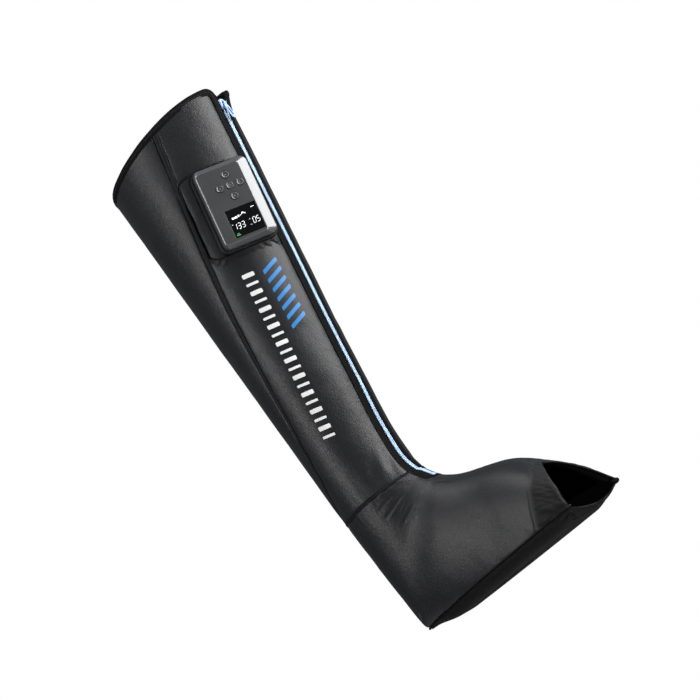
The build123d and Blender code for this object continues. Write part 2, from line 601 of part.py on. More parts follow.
mem = rbox(48.0, 46.0, 5.0, 13.1, 14.2, BTN_C[0], BTN_C[1])
for x, y in BTN.values():
    mem = mem.fuse(cyl(x, y, 14.2, 15.1, 3.0))
save(place(mem), "keypad_membrane")
pcb = rbox(UW - 2 * W_ - 1.4, UH - 2 * W_ - 1.4, U_R - W_ - 0.7, 11.7, 13.1)
for x, y in BOSS:
    pcb = pcb - cyl(x, y, 10.0, 15.0, 3.4)
save(place(pcb), "main_board")
for_b = None
for x, y in BOSS:
    q = cyl(x, y, U_SPLIT - 0.6, 11.6, 3.2)
    for_b = q if for_b is None else for_b.fuse(q)

# screws from the back, one node
scr = []
for x, y in BOSS:
    s_ = cyl(x, y, U_BACK + 0.2, U_BACK + 1.6, 2.2).fuse(cyl(x, y, U_BACK + 1.6, U_SPLIT - 0.8, 1.15))
    scr.append(place(s_))
save(Compound(children=scr), "case_screws")

# --- control unit: inside ---------------------------------------------------
save(place(rbox(30.0, 58.0, 2.5, -2.9, 8.6, 15.0, 14.0)), "battery_pack")
MX, MZ = -18.0, 4.0                    # pump axis, along the unit's length
motor = ycyl(MX, MZ, 8.0, 34.0, 6.8).fuse(ycyl(MX, MZ, 34.0, 35.6, 3.2))
motor = motor - ycyl(MX, MZ, 5.0, 14.0, 1.30)
save(place(motor), "pump_motor")
ecc = ycyl(MX, MZ, -1.0, 13.0, 1.25).fuse(ycyl(MX + 1.2, MZ, -1.0, 5.0, 4.2))
save(place(ecc), "pump_eccentric")
head = sq(MX - 9.5, MX + 9.5, -20.0, 7.0, MZ - 6.9, MZ + 7.0)
head = head - sq(MX - 7.2, MX + 7.2, -3.0, 8.0, MZ - 6.2, MZ + 6.2)
head = head - ycyl(MX, MZ, -6.0, 0.0, 1.8)
head = head.fuse(ycyl(MX, MZ - 0.0, -24.0, -20.0, 1.6))
save(place(head), "pump_head")
DX, DY, DZ = -4.0, -38.0, 0.6          # distributor
dist = rbox(40.0, 19.6, 2.0, -3.1, 5.4, -3.0, -42.0)
dist = dist - cyl(DX, DY, 1.0, 8.0, 7.2)
for x, y in SOCK:
    dist = dist.fuse(cyl(x, y, -6.6, -3.1, 1.4))
for x, y in SOCK:
    dist = dist - cyl(x, y, -9.0, -1.0, 0.8)
save(place(dist), "air_distributor")
rot = cyl(DX, DY, 1.3, 6.0, 7.12).fuse(cyl(DX, DY, 6.0, 9.0, 2.0))
rot = rot - sq(DX - 1.0, DX + 6.5, DY - 1.0, DY + 1.0, 4.6, 7.0).cut(cyl(DX, DY, 4.0, 9.5, 2.0))
save(place(rot), "distributor_rotor")
usb = sq(-4.45, 4.45, 47.0, 54.9, USB[1] - 1.6, USB[1] + 1.6) - sq(-3.9, 3.9, 48.5, 56.0, USB[1] - 1.15, USB[1] + 1.15)
save(place(usb), "charging_port")
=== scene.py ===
"""Looks of the air compression boot with its docked control unit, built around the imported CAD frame."""
import bpy
import bmesh
import math
import numpy as np
from mathutils import Matrix, Vector
from mathutils.geometry import delaunay_2d_cdt


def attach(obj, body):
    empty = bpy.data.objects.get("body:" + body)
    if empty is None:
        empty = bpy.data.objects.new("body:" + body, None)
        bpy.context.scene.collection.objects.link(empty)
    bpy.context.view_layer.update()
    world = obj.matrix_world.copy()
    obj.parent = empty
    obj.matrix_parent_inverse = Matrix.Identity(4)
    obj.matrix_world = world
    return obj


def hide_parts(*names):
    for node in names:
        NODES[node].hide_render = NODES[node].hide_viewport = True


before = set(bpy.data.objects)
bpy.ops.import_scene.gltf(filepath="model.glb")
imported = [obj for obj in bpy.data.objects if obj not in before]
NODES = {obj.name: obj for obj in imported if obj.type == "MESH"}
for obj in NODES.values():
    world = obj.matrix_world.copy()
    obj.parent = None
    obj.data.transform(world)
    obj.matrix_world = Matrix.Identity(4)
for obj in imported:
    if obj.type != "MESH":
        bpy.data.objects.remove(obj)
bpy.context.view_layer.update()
scene = bpy.context.scene
MM = 0.001
rng = np.random.default_rng(11)

# ---------------------------------------------------------------------------
# wall surface of the boot, in millimetres: the same stations as the CAD
# ---------------------------------------------------------------------------
XO = 160.0
S_COIL, S_B0, S_B1, S_TAPE, S_PLACKET, S_LINE = 2.6, 4.6, 14.0, 12.0, 17.0, 18.0
V_ZIP, V_ANKLE, V_TAPE, V_TOP = 7.6, 13.0, 13.2, 21.0
Z_SEAM = 16.0
ST = np.array([
    (305.0, 16.0, 274.0, 84.0, 52.0, 55.0, 1.0, 8.0, 1.0),
    (281.0, 16.0, 256.0, 101.0, 51.0, 57.5, 1.0, 6.0, 1.0),
    (250.0, 16.0, 237.0, 112.5, 50.0, 58.0, 1.0, 4.0, 1.0),
    (215.0, 16.0, 216.0, 121.5, 50.0, 56.5, 1.0, 2.5, 1.0),
    (178.0, 16.0, 196.0, 128.5, 50.0, 53.5, 0.95, 1.0, 1.0),
    (140.0, 16.0, 178.0, 135.0, 49.0, 48.5, 0.8, 0.0, 1.0),
    (100.0, 16.0, 163.0, 142.0, 47.0, 41.5, 0.6, 0.0, 1.0),
    (60.0, 16.0, 150.5, 151.0, 45.0, 31.0, 0.4, 0.0, 1.02),
    (25.0, 16.0, 140.5, 162.5, 44.0, 16.0, 0.2, 0.0, 1.05),
    (0.0, 16.0, 133.0, 174.0, 45.0, 0.0, 0.0, 0.0, 1.1),
    (-0.9, 60.0, 132.2, 175.3, 48.6, 0.0, 0.0, 0.0, 1.2),
    (-2.3, 102.0, 131.6, 176.5, 51.1, 0.0, 0.0, 0.0, 1.23),
    (-3.0, 141.0, 130.9, 177.8, 53.6, 0.0, 0.0, 0.0, 1.28),
    (-2.8, 177.0, 130.2, 179.0, 55.7, 0.0, 0.0, 0.0, 1.3),
    (-2.5, 198.0, 124.0, 200.0, 57.0, 0.0, 0.0, 0.0, 1.2),
    (-1.4, 244.0, 125.0, 245.5, 60.0, 0.0, 0.0, 0.0, 1.24),
    (0.0, 320.0, 137.5, 322.0, 65.0, 0.0, 0.0, 0.0, 1.25),
    (1.0, 400.0, 152.3, 403.0, 70.0, 0.0, 0.0, 0.0, 1.25),
    (1.5, 480.0, 169.4, 484.0, 75.0, 0.0, 0.0, 0.0, 1.25),
    (2.0, 560.0, 186.6, 566.0, 79.0, 0.0, 0.0, 0.0, 1.25),
    (2.5, 640.0, 204.1, 649.0, 82.0, 0.0, 0.0, 0.0, 1.25),
    (1.0, 722.0, 222.5, 736.0, 84.0, 0.0, 0.0, 0.0, 1.25),
    (0.6, 745.0, 227.6, 760.0, 84.6, 0.0, 0.0, 0.0, 1.25),
])
SEAM_V = np.array([13.0, 14, 15, 16, 17, 18, 19, 20, 21, 22])
SEAM_T = np.radians(np.array([150.0, 134.5, 118, 106, 97, 89.5, 80, 72.5, 66, 64]))
RIM = np.array([(-12.0, 715.0), (1.0, 717.0), (30.0, 717.2), (70.0, 719.0), (110.0, 722.5),
                (150.0, 727.5), (185.0, 733.0), (205.0, 735.5), (216.0, 736.0), (230.0, 736.0)])

# height along the leg that belongs to each station: mean length of the two ridges
_db = np.hypot(np.diff(ST[:, 0]), np.diff(ST[:, 1]))
_df = np.hypot(np.diff(ST[:, 2]), np.diff(ST[:, 3]))
WST = np.concatenate([[0.0], np.cumsum((_db + _df) / 2)])


def hermite_table(x, y, n=4601):
    """columns y(x) joined by a smooth curve that doesn't overshoot much"""
    h = np.diff(x)
    s = np.diff(y, axis=0) / h[:, None]
    m = np.empty_like(y)
    m[1:-1] = (s[:-1] * h[1:, None] + s[1:] * h[:-1, None]) / (h[:-1] + h[1:])[:, None]
    m[0], m[-1] = s[0], s[-1]
    lim = 3 * np.minimum(np.abs(s[:-1]), np.abs(s[1:])) + 0.02
    m[1:-1] = np.clip(m[1:-1], -lim, lim)
    q = np.linspace(x[0], x[-1], n)
    i = np.clip(np.searchsorted(x, q, side="right") - 1, 0, len(x) - 2)
    u = ((q - x[i]) / h[i])[:, None]
    hh = h[i][:, None]
    out = ((2 * u**3 - 3 * u**2 + 1) * y[i] + (u**3 - 2 * u**2 + u) * hh * m[i]
           + (-2 * u**3 + 3 * u**2) * y[i + 1] + (u**3 - u**2) * hh * m[i + 1])
    return q, out


_WQ, _WT = hermite_table(WST, ST)
_B_EXT = ST[0] + (ST[0] - ST[1]) * 0.4


def W_of_v(v):
    v = np.asarray(v, float)
    base = np.interp(v, np.arange(len(ST)), WST)
    return base + np.minimum(v, 0) * (WST[1] - WST[0])


def v_of_W(w):
    return np.interp(w, WST, np.arange(len(ST)))


def rows(w):
    """station columns at the height w (mm); below 0 the first pair is extended"""
    w = np.asarray(w, float)
    out = np.stack([np.interp(w, _WQ, _WT[:, c]) for c in range(9)], -1)
    under = np.minimum(w, 0.0)[..., None] / (WST[1] - WST[0])
    return out + under * (ST[1] - ST[0])


def raw(R, t):
    Bx, Bz, Fx, Fz, w, ye, g, sk, k = (R[..., c] for c in range(9))
    L = np.hypot(Bx - Fx, Bz - Fz)
    p = (1 - g) * (1 - np.cos(t)) / 2 + g * (1 - np.cos(t / 2))
    s = np.maximum(np.sin(t), 0.0)
    s = np.where(t < math.pi / 2, np.power(s, k), s)
    return p * L, (1 - g) * w * s + ye * np.sin(t / 2)


def PT(w, tau, d=0.0):
    """point of the wall at height w and angle tau in 0..2 pi (0 front, lateral side first), depth d"""
    w, tau, d = np.broadcast_arrays(np.asarray(w, float), np.asarray(tau, float), np.asarray(d, float))
    side = np.where(tau <= math.pi, -1.0, 1.0)
    t = np.where(tau <= math.pi, tau, 2 * math.pi - tau)
    t = np.clip(t, 0.0, math.pi)
    R = rows(w)
    Bx, Bz, Fx, Fz, g, sk = R[..., 0], R[..., 1], R[..., 2], R[..., 3], R[..., 6], R[..., 7]
    L = np.hypot(Bx - Fx, Bz - Fz)
    p, y = raw(R, t)
    e = 2e-3
    pa, ya = raw(R, np.maximum(0.0, t - e))
    pb, yb = raw(R, np.minimum(math.pi, t + e))
    dp, dy = pb - pa, yb - ya
    z0 = t < 1e-6
    dp, dy = np.where(z0, 0.0, dp), np.where(z0, 1.0, dy)
    z1 = (t > math.pi - 1e-6) & (g < 0.05)
    dp, dy = np.where(z1, 0.0, dp), np.where(z1, -1.0, dy)
    n = np.hypot(dp, dy) + 1e-12
    p = (p + dy / n * d) / L
    y = y - dp / n * d
    bx = Bx + side * sk
    return np.stack([Fx + (bx - Fx) * p - XO, side * y, Fz + (Bz - Fz) * p], -1)


_NT = 721
_TT = np.concatenate([np.linspace(0, 0.3, 121)[:-1], np.linspace(0.3, math.pi, _NT - 120)])
_NU = 700
_WG = np.linspace(-14.0, WST[-1], 1300)
_p, _y = raw(rows(_WG)[:, None, :] + np.zeros((1, len(_TT), 1)), np.repeat(_TT[None, :], len(_WG), 0))
_ARC = np.concatenate([np.zeros((len(_WG), 1)), np.cumsum(np.hypot(np.diff(_p, axis=1), np.diff(_y, axis=1)), axis=1)], 1)
_HALF = _ARC[:, -1]
_U = np.linspace(0, 1, _NU)
_TU = np.array([np.interp(_U**2 * _HALF[i], _ARC[i], _TT) for i in range(len(_WG))])


def _wi(w):
    x = np.clip((np.asarray(w, float) - _WG[0]) / (_WG[1] - _WG[0]), 0, len(_WG) - 1.001)
    i = x.astype(int)
    return i, x - i


def half_len(w):
    """length round one side of the wall, front ridge to back, in mm"""
    return np.interp(w, _WG, _HALF)


def t_of_s(w, s):
    """angle at a distance s (mm) round the wall from the front ridge, arrays allowed"""
    w, s = np.broadcast_arrays(np.asarray(w, float), np.asarray(s, float))
    i, f = _wi(w)
    u = np.sqrt(np.clip(s / half_len(w), 0, 1)) * (_NU - 1)
    j = np.minimum(u.astype(int), _NU - 2)
    g = u - j
    a = _TU[i, j] * (1 - g) + _TU[i, j + 1] * g
    b = _TU[i + 1, j] * (1 - g) + _TU[i + 1, j + 1] * g
    return a * (1 - f) + b * f


def s_of_t(w, t):
    w, t = np.broadcast_arrays(np.asarray(w, float), np.asarray(t, float))
    i, f = _wi(w)
    x = np.interp(t, _TT, np.arange(len(_TT)))
    j = np.minimum(x.astype(int), len(_TT) - 2)
    g = x - j
    a = _ARC[i, j] * (1 - g) + _ARC[i, j + 1] * g
    b = _ARC[i + 1, j] * (1 - g) + _ARC[i + 1, j + 1] * g
    return a * (1 - f) + b * f


def tau_of_s(w, s):
    """s measured from the ridge, lateral first, through the back to the medial ridge"""
    h = half_len(w)
    lat = s <= h
    t = t_of_s(w, np.where(lat, s, 2 * h - s))
    return np.where(lat, t, 2 * math.pi - t)


def seam_t(w):
    return np.interp(v_of_W(w), SEAM_V, SEAM_T)


def seam_s(w):
    return s_of_t(w, seam_t(w))


def half_band_mm(w):
    return (3.0 + 4.5 * (v_of_W(w) - V_TAPE) / (V_TOP - V_TAPE)) / 2


def rim_w_at_tau(tau):
    """height w of the top rim at an angle"""
    tau = np.asarray(tau, float)
    lo, hi = np.full(tau.shape, W_of_v(20.2)), np.full(tau.shape, W_of_v(22.0) - 0.01)
    for _ in range(36):
        mid = (lo + hi) / 2
        p = PT(mid, tau)
        over = p[..., 2] > np.interp(p[..., 0] + XO, RIM[:, 0], RIM[:, 1])
        hi, lo = np.where(over, mid, hi), np.where(over, lo, mid)
    return (lo + hi) / 2


W_TOP_MAX = float(W_of_v(22.0))
W_ANK = float(W_of_v(V_ANKLE))
W_TAPE_ = float(W_of_v(V_TAPE))
W_ZIP = float(W_of_v(V_ZIP))

# ---------------------------------------------------------------------------
# small tools
# ---------------------------------------------------------------------------


def noise3(p, seed=0):
    """smooth value noise in -1..1 on points (n,3)"""
    p = np.asarray(p, float)
    i = np.floor(p).astype(np.int64)
    f = p - i
    f = f * f * f * (f * (f * 6 - 15) + 10)

    def h(ix, iy, iz):
        n = (ix * 374761393 + iy * 668265263 + iz * 2147483647 + seed * 974634777) & 0x7FFFFFFF
        n = ((n ^ (n >> 13)) * 1274126177) & 0x7FFFFFFF
        n = (n ^ (n >> 16)) & 0xFFFF
        return n / 32767.5 - 1.0

    out = 0
    for a in (0, 1):
        for b in (0, 1):
            for c in (0, 1):
                wgt = ((f[..., 0] if a else 1 - f[..., 0]) * (f[..., 1] if b else 1 - f[..., 1])
                       * (f[..., 2] if c else 1 - f[..., 2]))
                out = out + wgt * h(i[..., 0] + a, i[..., 1] + b, i[..., 2] + c)
    return out


def smooth(x, a, b):
    u = np.clip((np.asarray(x, float) - a) / (b - a), 0, 1)
    return u * u * (3 - 2 * u)


def gauss(x, s):
    return np.exp(-(np.asarray(x, float) / s) ** 2)


def grid_normals(g):
    du = np.gradient(g, axis=1)
    dv = np.gradient(g, axis=0)
    n = np.cross(du, dv)
    return n / (np.linalg.norm(n, axis=-1, keepdims=True) + 1e-12)


def make(name, verts, faces, material=None, body="boot", smooth_=True, uv=None, extra=None):
    """object from millimetre vertices"""
    me = bpy.data.meshes.new(name)
    v = np.asarray(verts, float) * MM
    me.from_pydata([tuple(x) for x in v.tolist()], [], faces)
    me.validate()
    if uv is not None:
        lay = me.uv_layers.new(name="UVMap")
        li = np.zeros(len(me.loops), np.int32)
        me.loops.foreach_get("vertex_index", li)
        lay.data.foreach_set("uv", np.asarray(uv, np.float32)[li].ravel())
    if smooth_:
        me.polygons.foreach_set("use_smooth", [True] * len(me.polygons))
    me.update()
    ob = bpy.data.objects.new(name, me)
    scene.collection.objects.link(ob)
    if material is not None:
        me.materials.append(material)
    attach(ob, body)
    return ob


def shell_faces(m, n, flip=False, close_u=False):
    """faces of a closed shell made of an outer and an inner m x n grid (outer first)"""
    F = []
    off = m * n
    N = n if close_u else n - 1
    for i in range(m - 1):
        for j in range(N):
            a, b = i * n + j, i * n + (j + 1) % n
            c, d = (i + 1) * n + (j + 1) % n, (i + 1) * n + j
            F.append((a, b, c, d))
            F.append((off + a, off + d, off + c, off + b))
    for j in range(N):
        a, b = j, (j + 1) % n
        F.append((b, a, off + a, off + b))
        a, b = (m - 1) * n + j, (m - 1) * n + (j + 1) % n
        F.append((a, b, off + b, off + a))
    if not close_u:
        for i in range(m - 1):
            a, b = i * n, (i + 1) * n
            F.append((a, b, off + b, off + a))
            a, b = i * n + n - 1, (i + 1) * n + n - 1
            F.append((b, a, off + a, off + b))
    if flip:
        F = [tuple(reversed(f)) for f in F]
    return F


def shell(name, outer, inner, material, body="boot", uv=None, close_u=False, flip=False):
    m, n = outer.shape[:2]
    v = np.concatenate([outer.reshape(-1, 3), inner.reshape(-1, 3)])
    if uv is not None:
        uv = np.concatenate([uv.reshape(-1, 2), uv.reshape(-1, 2)])
    ob = make(name, v, shell_faces(m, n, flip, close_u), material, body, uv=uv)
    fix_normals(ob)
    return ob


def fix_normals(ob):
    bm = bmesh.new()
    bm.from_mesh(ob.data)
    bmesh.ops.recalc_face_normals(bm, faces=bm.faces)
    if bm.calc_volume(signed=True) < 0:
        bmesh.ops.reverse_faces(bm, faces=bm.faces)
    bm.to_mesh(ob.data)
    bm.free()


def loft(name, rings, material, body="boot", cap=True, closed_path=False, uv=None, smooth_=True):
    """closed mesh from rings (m, n, 3); each ring is a closed loop"""
    rings = np.asarray(rings, float)
    m, n = rings.shape[:2]
    F = []
    for i in range(m if closed_path else m - 1):
        k = (i + 1) % m
        for j in range(n):
            a, b = i * n + j, i * n + (j + 1) % n
            c, d = k * n + (j + 1) % n, k * n + j
            F.append((a, b, c, d))
    if cap and not closed_path:
        F.append(tuple(reversed(range(n))))
        F.append(tuple((m - 1) * n + j for j in range(n)))
    ob = make(name, rings.reshape(-1, 3), F, material, body, smooth_=smooth_,
              uv=None if uv is None else uv.reshape(-1, 2))
    fix_normals(ob)
    return ob


def autosmooth(ob, angle=35):
    """flat shading across sharp edges"""
    me = ob.data
    bm = bmesh.new()
    bm.from_mesh(me)
    lim = math.radians(angle)
    for e in bm.edges:
        if len(e.link_faces) == 2 and e.calc_face_angle(0) > lim:
            e.smooth = False
    for f in bm.faces:
        f.smooth = True
    bm.to_mesh(me)
    bm.free()
    return ob


def frames_along(pts, nrm):
    """tangent, side, normal along a polyline (n,3) with surface normals (n,3)"""
    t = np.gradient(pts, axis=0)
    t /= np.linalg.norm(t, axis=1, keepdims=True) + 1e-12
    nn = nrm - (nrm * t).sum(1, keepdims=True) * t
    nn /= np.linalg.norm(nn, axis=1, keepdims=True) + 1e-12
    s = np.cross(nn, t)
    return t, s, nn


def resample(pts, step, *more):
    """points at equal steps of length along a polyline, other arrays follow"""
    pts = np.asarray(pts, float)
    l = np.concatenate([[0], np.cumsum(np.linalg.norm(np.diff(pts, axis=0), axis=1))])
    n = max(2, int(round(l[-1] / step)) + 1)
    q = np.linspace(0, l[-1], n)
    out = [np.stack([np.interp(q, l, pts[:, c]) for c in range(3)], 1)]
    for a in more:
        a = np.asarray(a, float)
        if a.ndim == 1:
            out.append(np.interp(q, l, a))
        else:
            out.append(np.stack([np.interp(q, l, a[:, c]) for c in range(a.shape[1])], 1))
    return out


def stitch_mesh(lines, pitch=3.2, length=2.3, rad=0.32, lift=0.12, jitter=0.10):
    """thread stitches along lines: list of (points, normals). Returns verts, faces"""
    V, F = [], []
    prof = np.array([(-0.5, 0.0, -0.9), (-0.42, 0.65, -0.35), (-0.2, 1.0, 0.05), (0.2, 1.0, 0.05), (0.42, 0.65, -0.35), (0.5, 0.0, -0.9)])
    k = 6
    for pts, nrm in lines:
        P_, N_ = resample(pts, pitch, nrm)
        t, s, nn = frames_along(P_, N_)
        for i in range(len(P_)):
            c = P_[i] + nn[i] * lift
            w = 1 + jitter * (rng.random() - 0.5)
            base = len(V)
            for (u, r, h) in prof:
                cc = c + t[i] * u * length * w + nn[i] * h * rad
                if r == 0.0:
                    V.append(cc)
                    continue
                for a in range(k):
                    an = 2 * math.pi * a / k
                    V.append(cc + (s[i] * math.cos(an) + nn[i] * math.sin(an)) * rad * r)
            # tip, 4 rings, tip
            for a in range(k):
                F.append((base, base + 1 + (a + 1) % k, base + 1 + a))
            for rr in range(3):
                o = base + 1 + rr * k
                for a in range(k):
                    F.append((o + a, o + (a + 1) % k, o + k + (a + 1) % k, o + k + a))
            o = base + 1 + 3 * k
            for a in range(k):
                F.append((o + a, o + (a + 1) % k, o + k))
    return np.array(V), F


def stitches(name, lines, material, body="boot", **kw):
    V, F = stitch_mesh(lines, **kw)
    ob = make(name, V, F, material, body)
    fix_normals(ob)
    return ob


def tube(name, pts, r, material, body="boot", n=10, closed_path=False, up=None, squash=1.0):
    """round cord along points; r may be an array"""
    pts = np.asarray(pts, float)
    up = np.tile(np.array([0.13, 0.21, 0.97]), (len(pts), 1)) if up is None else np.asarray(up, float)
    if closed_path:
        t = np.roll(pts, -1, 0) - np.roll(pts, 1, 0)
        t /= np.linalg.norm(t, axis=1, keepdims=True)
        nn = up - (up * t).sum(1, keepdims=True) * t
        nn /= np.linalg.norm(nn, axis=1, keepdims=True)
        s = np.cross(nn, t)
    else:
        t, s, nn = frames_along(pts, up)
    r = np.broadcast_to(np.asarray(r, float), (len(pts),))
    a = np.linspace(0, 2 * math.pi, n, endpoint=False)
    rings = pts[:, None, :] + r[:, None, None] * (s[:, None, :] * np.cos(a)[None, :, None] + squash * nn[:, None, :] * np.sin(a)[None, :, None])
    return loft(name, rings, material, body, closed_path=closed_path)


# ---------------------------------------------------------------------------
# materials
# ---------------------------------------------------------------------------


class Mat:
    def __init__(self, name):
        self.m = bpy.data.materials.new(name)
        self.m.use_nodes = True
        self.t = self.m.node_tree
        self.n = self.t.nodes
        self.l = self.t.links
        self.b = next(x for x in self.n if x.type == "BSDF_PRINCIPLED")
        self.y = 0

    def node(self, kind, **kw):
        x = self.n.new(kind)
        for k, v in kw.items():
            setattr(x, k, v)
        return x

    def link(self, a, b):
        self.l.new(a, b)

    def set(self, **kw):
        names = {"base": "Base Color", "rough": "Roughness", "metal": "Metallic", "spec": "Specular IOR Level",
                 "sheen": "Sheen Weight", "sheen_rough": "Sheen Roughness", "sheen_tint": "Sheen Tint", "coat": "Coat Weight",
                 "coat_rough": "Coat Roughness", "ior": "IOR", "trans": "Transmission Weight",
                 "emit": "Emission Color", "emit_s": "Emission Strength", "alpha": "Alpha", "aniso": "Anisotropic"}
        for k, v in kw.items():
            s = self.b.inputs[names[k]]
            if hasattr(v, "__len__") and len(v) == 3:
                v = (*v, 1.0)
            s.default_value = v
        return self

    def coords(self, kind="Object"):
        if not hasattr(self, "tc"):
            self.tc = self.node("ShaderNodeTexCoord")
        return self.tc.outputs[kind]

    def math(self, op, a, b=None, c=None, clamp=False):
        x = self.node("ShaderNodeMath", operation=op, use_clamp=clamp)
        for i, v in enumerate((a, b, c)):
            if v is None:
                continue
            if isinstance(v, (int, float)):
                x.inputs[i].default_value = v
            else:
                self.link(v, x.inputs[i])
        return x.outputs[0]

    def noise(self, scale, detail=3.0, rough=0.5, vec=None, dist=0.0):
        x = self.node("ShaderNodeTexNoise")
        x.inputs["Scale"].default_value = scale
        x.inputs["Detail"].default_value = detail
        x.inputs["Roughness"].default_value = rough
        x.inputs["Distortion"].default_value = dist
        self.link(vec if vec is not None else self.coords(), x.inputs["Vector"])
        return x.outputs["Fac"]

    def voronoi(self, scale, feature="F1", vec=None, rand=1.0):
        x = self.node("ShaderNodeTexVoronoi", feature=feature)
        x.inputs["Scale"].default_value = scale
        x.inputs["Randomness"].default_value = rand
        self.link(vec if vec is not None else self.coords(), x.inputs["Vector"])
        return x.outputs["Distance"]

    def ramp(self, fac, stops):
        x = self.node("ShaderNodeValToRGB")
        e = x.color_ramp.elements
        while len(e) < len(stops):
            e.new(0.5)
        for el, (p, c) in zip(e, stops):
            el.position = p
            el.color = (*c, 1.0) if len(c) == 3 else c
        self.link(fac, x.inputs["Fac"])
        return x.outputs["Color"]

    def range(self, fac, a, b, c, d):
        x = self.node("ShaderNodeMapRange")
        for i, v in enumerate((a, b, c, d)):
            x.inputs[i + 1].default_value = v
        self.link(fac, x.inputs[0])
        return x.outputs[0]

    def mapping(self, vec, scale=(1, 1, 1), rot=(0, 0, 0)):
        x = self.node("ShaderNodeMapping")
        x.inputs["Scale"].default_value = scale
        x.inputs["Rotation"].default_value = rot
        self.link(vec, x.inputs["Vector"])
        return x.outputs["Vector"]

    def wave(self, vec, scale, axis="X", profile="SIN", dist=0.0, dscale=1.0, detail=0.0):
        x = self.node("ShaderNodeTexWave", wave_type="BANDS", bands_direction=axis, wave_profile=profile)
        x.inputs["Scale"].default_value = scale
        x.inputs["Distortion"].default_value = dist
        x.inputs["Detail"].default_value = detail
        x.inputs["Detail Scale"].default_value = dscale
        self.link(vec, x.inputs["Vector"])
        return x.outputs["Fac"]

    def bump(self, height, strength=0.3, distance=0.001, normal=None):
        x = self.node("ShaderNodeBump")
        x.inputs["Strength"].default_value = strength
        x.inputs["Distance"].default_value = distance
        self.link(height, x.inputs["Height"])
        if normal is not None:
            self.link(normal, x.inputs["Normal"])
        return x.outputs["Normal"]

    def color(self, c):
        self.link(c, self.b.inputs["Base Color"])
        return self

    def rough(self, r):
        self.link(r, self.b.inputs["Roughness"])
        return self

    def normal(self, n):
        self.link(n, self.b.inputs["Normal"])
        return self


def fabric(name, lo, hi, weave=1150.0, grain=520.0, rough=(0.50, 0.66), spec=0.35, sheen=0.12, bump=0.35, use_uv=True, coarse=0.25, painted_shade=None):
    """dark coated woven fabric: fine two-way weave, pebbled grain, soft blotches; the optional stored share named here
    is painted shade that darkens the colour and roughens it
    """
    m = Mat(name)
    uv = m.coords("UV") if use_uv else m.coords()
    # weave, uv in metres
    wx = m.wave(uv, weave / 6.2832, "X")
    wy = m.wave(uv, weave / 6.2832, "Y")
    wv = m.math("MULTIPLY", wx, wy)
    pebble = m.voronoi(grain, "SMOOTH_F1")
    fine = m.noise(grain * 2.2, 4.0, 0.6)
    blot = m.noise(14.0, 3.0, 0.55)
    mid = m.noise(70.0, 3.0, 0.6)
    h = m.math("ADD", m.math("MULTIPLY", wv, 0.45), m.math("MULTIPLY", pebble, 0.9))
    h = m.math("ADD", h, m.math("MULTIPLY", fine, 0.35))
    n1 = m.bump(m.math("ADD", blot, m.math("MULTIPLY", mid, 0.5)), coarse, 0.0015)
    n2 = m.bump(h, bump, 0.0004, n1)
    m.normal(n2)
    mixf = m.math("ADD", m.math("MULTIPLY", blot, 0.6), m.math("MULTIPLY", m.math("ADD", fine, pebble), 0.35))
    rgh = m.range(m.math("ADD", fine, m.math("MULTIPLY", pebble, 0.5)), 0.3, 1.0, rough[1], rough[0])
    # painted shade: the stored share pulls the colour ramp down to a near-black stop and adds roughness
    if painted_shade:
        at = m.t.nodes.new("ShaderNodeAttribute")
        at.attribute_name = painted_shade
        mixf = m.math("SUBTRACT", mixf, m.math("MULTIPLY", at.outputs["Fac"], 0.75))
        rgh = m.math("ADD", rgh, m.math("MULTIPLY", at.outputs["Fac"], 0.45))
        m.color(m.ramp(mixf, [(0.0, tuple(c * 0.3 for c in lo)), (0.30, lo), (0.85, hi)]))
    else:
        m.color(m.ramp(mixf, [(0.30, lo), (0.85, hi)]))
    m.rough(rgh)
    m.set(spec=spec, sheen=sheen, sheen_rough=0.45, sheen_tint=(0.75, 0.82, 0.95))
    return m.m


def ribbed(name, lo, hi, rib=1500.0, rough=0.62, spec=0.22, sheen=0.10, axis="Y", bump=0.5):
    """woven binding tape with fine ribs across it"""
    m = Mat(name)
    uv = m.coords("UV")
    r = m.wave(uv, rib / 6.2832, axis)
    r2 = m.wave(uv, rib / 2.3 / 6.2832, "X" if axis == "Y" else "Y")
    fine = m.noise(1500.0, 3.0, 0.6)
    blot = m.noise(35.0, 3.0, 0.6)
    h = m.math("ADD", m.math("MULTIPLY", r, 0.6), m.math("MULTIPLY", r2, 0.3))
    h = m.math("ADD", h, m.math("MULTIPLY", fine, 0.4))
    m.normal(m.bump(h, bump, 0.0003))
    m.color(m.ramp(m.math("ADD", m.math("MULTIPLY", blot, 0.6), m.math("MULTIPLY", h, 0.35)), [(0.25, lo), (0.85, hi)]))
    m.rough(m.range(fine, 0.3, 0.8, rough + 0.08, rough - 0.08))
    m.set(spec=spec, sheen=sheen, sheen_rough=0.5)
    return m.m


def plastic(name, base, rough=0.4, spec=0.5, coat=0.0, coat_rough=0.1, grain=900.0, bump=0.05, vary=0.15, metal=0.0):
    m = Mat(name)
    f = m.noise(grain, 4.0, 0.55)
    b = m.noise(25.0, 3.0, 0.5)
    lo = tuple(c * (1 - vary) for c in base)
    hi = tuple(min(1.0, c * (1 + vary)) for c in base)
    m.color(m.ramp(b, [(0.3, lo), (0.7, hi)]))
    m.rough(m.range(m.math("ADD", m.math("MULTIPLY", f, 0.6), m.math("MULTIPLY", b, 0.4)), 0.3, 0.7, max(0.02, rough - 0.05), rough + 0.05))
    m.normal(m.bump(f, bump, 0.0002))
    m.set(spec=spec, coat=coat, coat_rough=coat_rough, metal=metal)
    return m.m


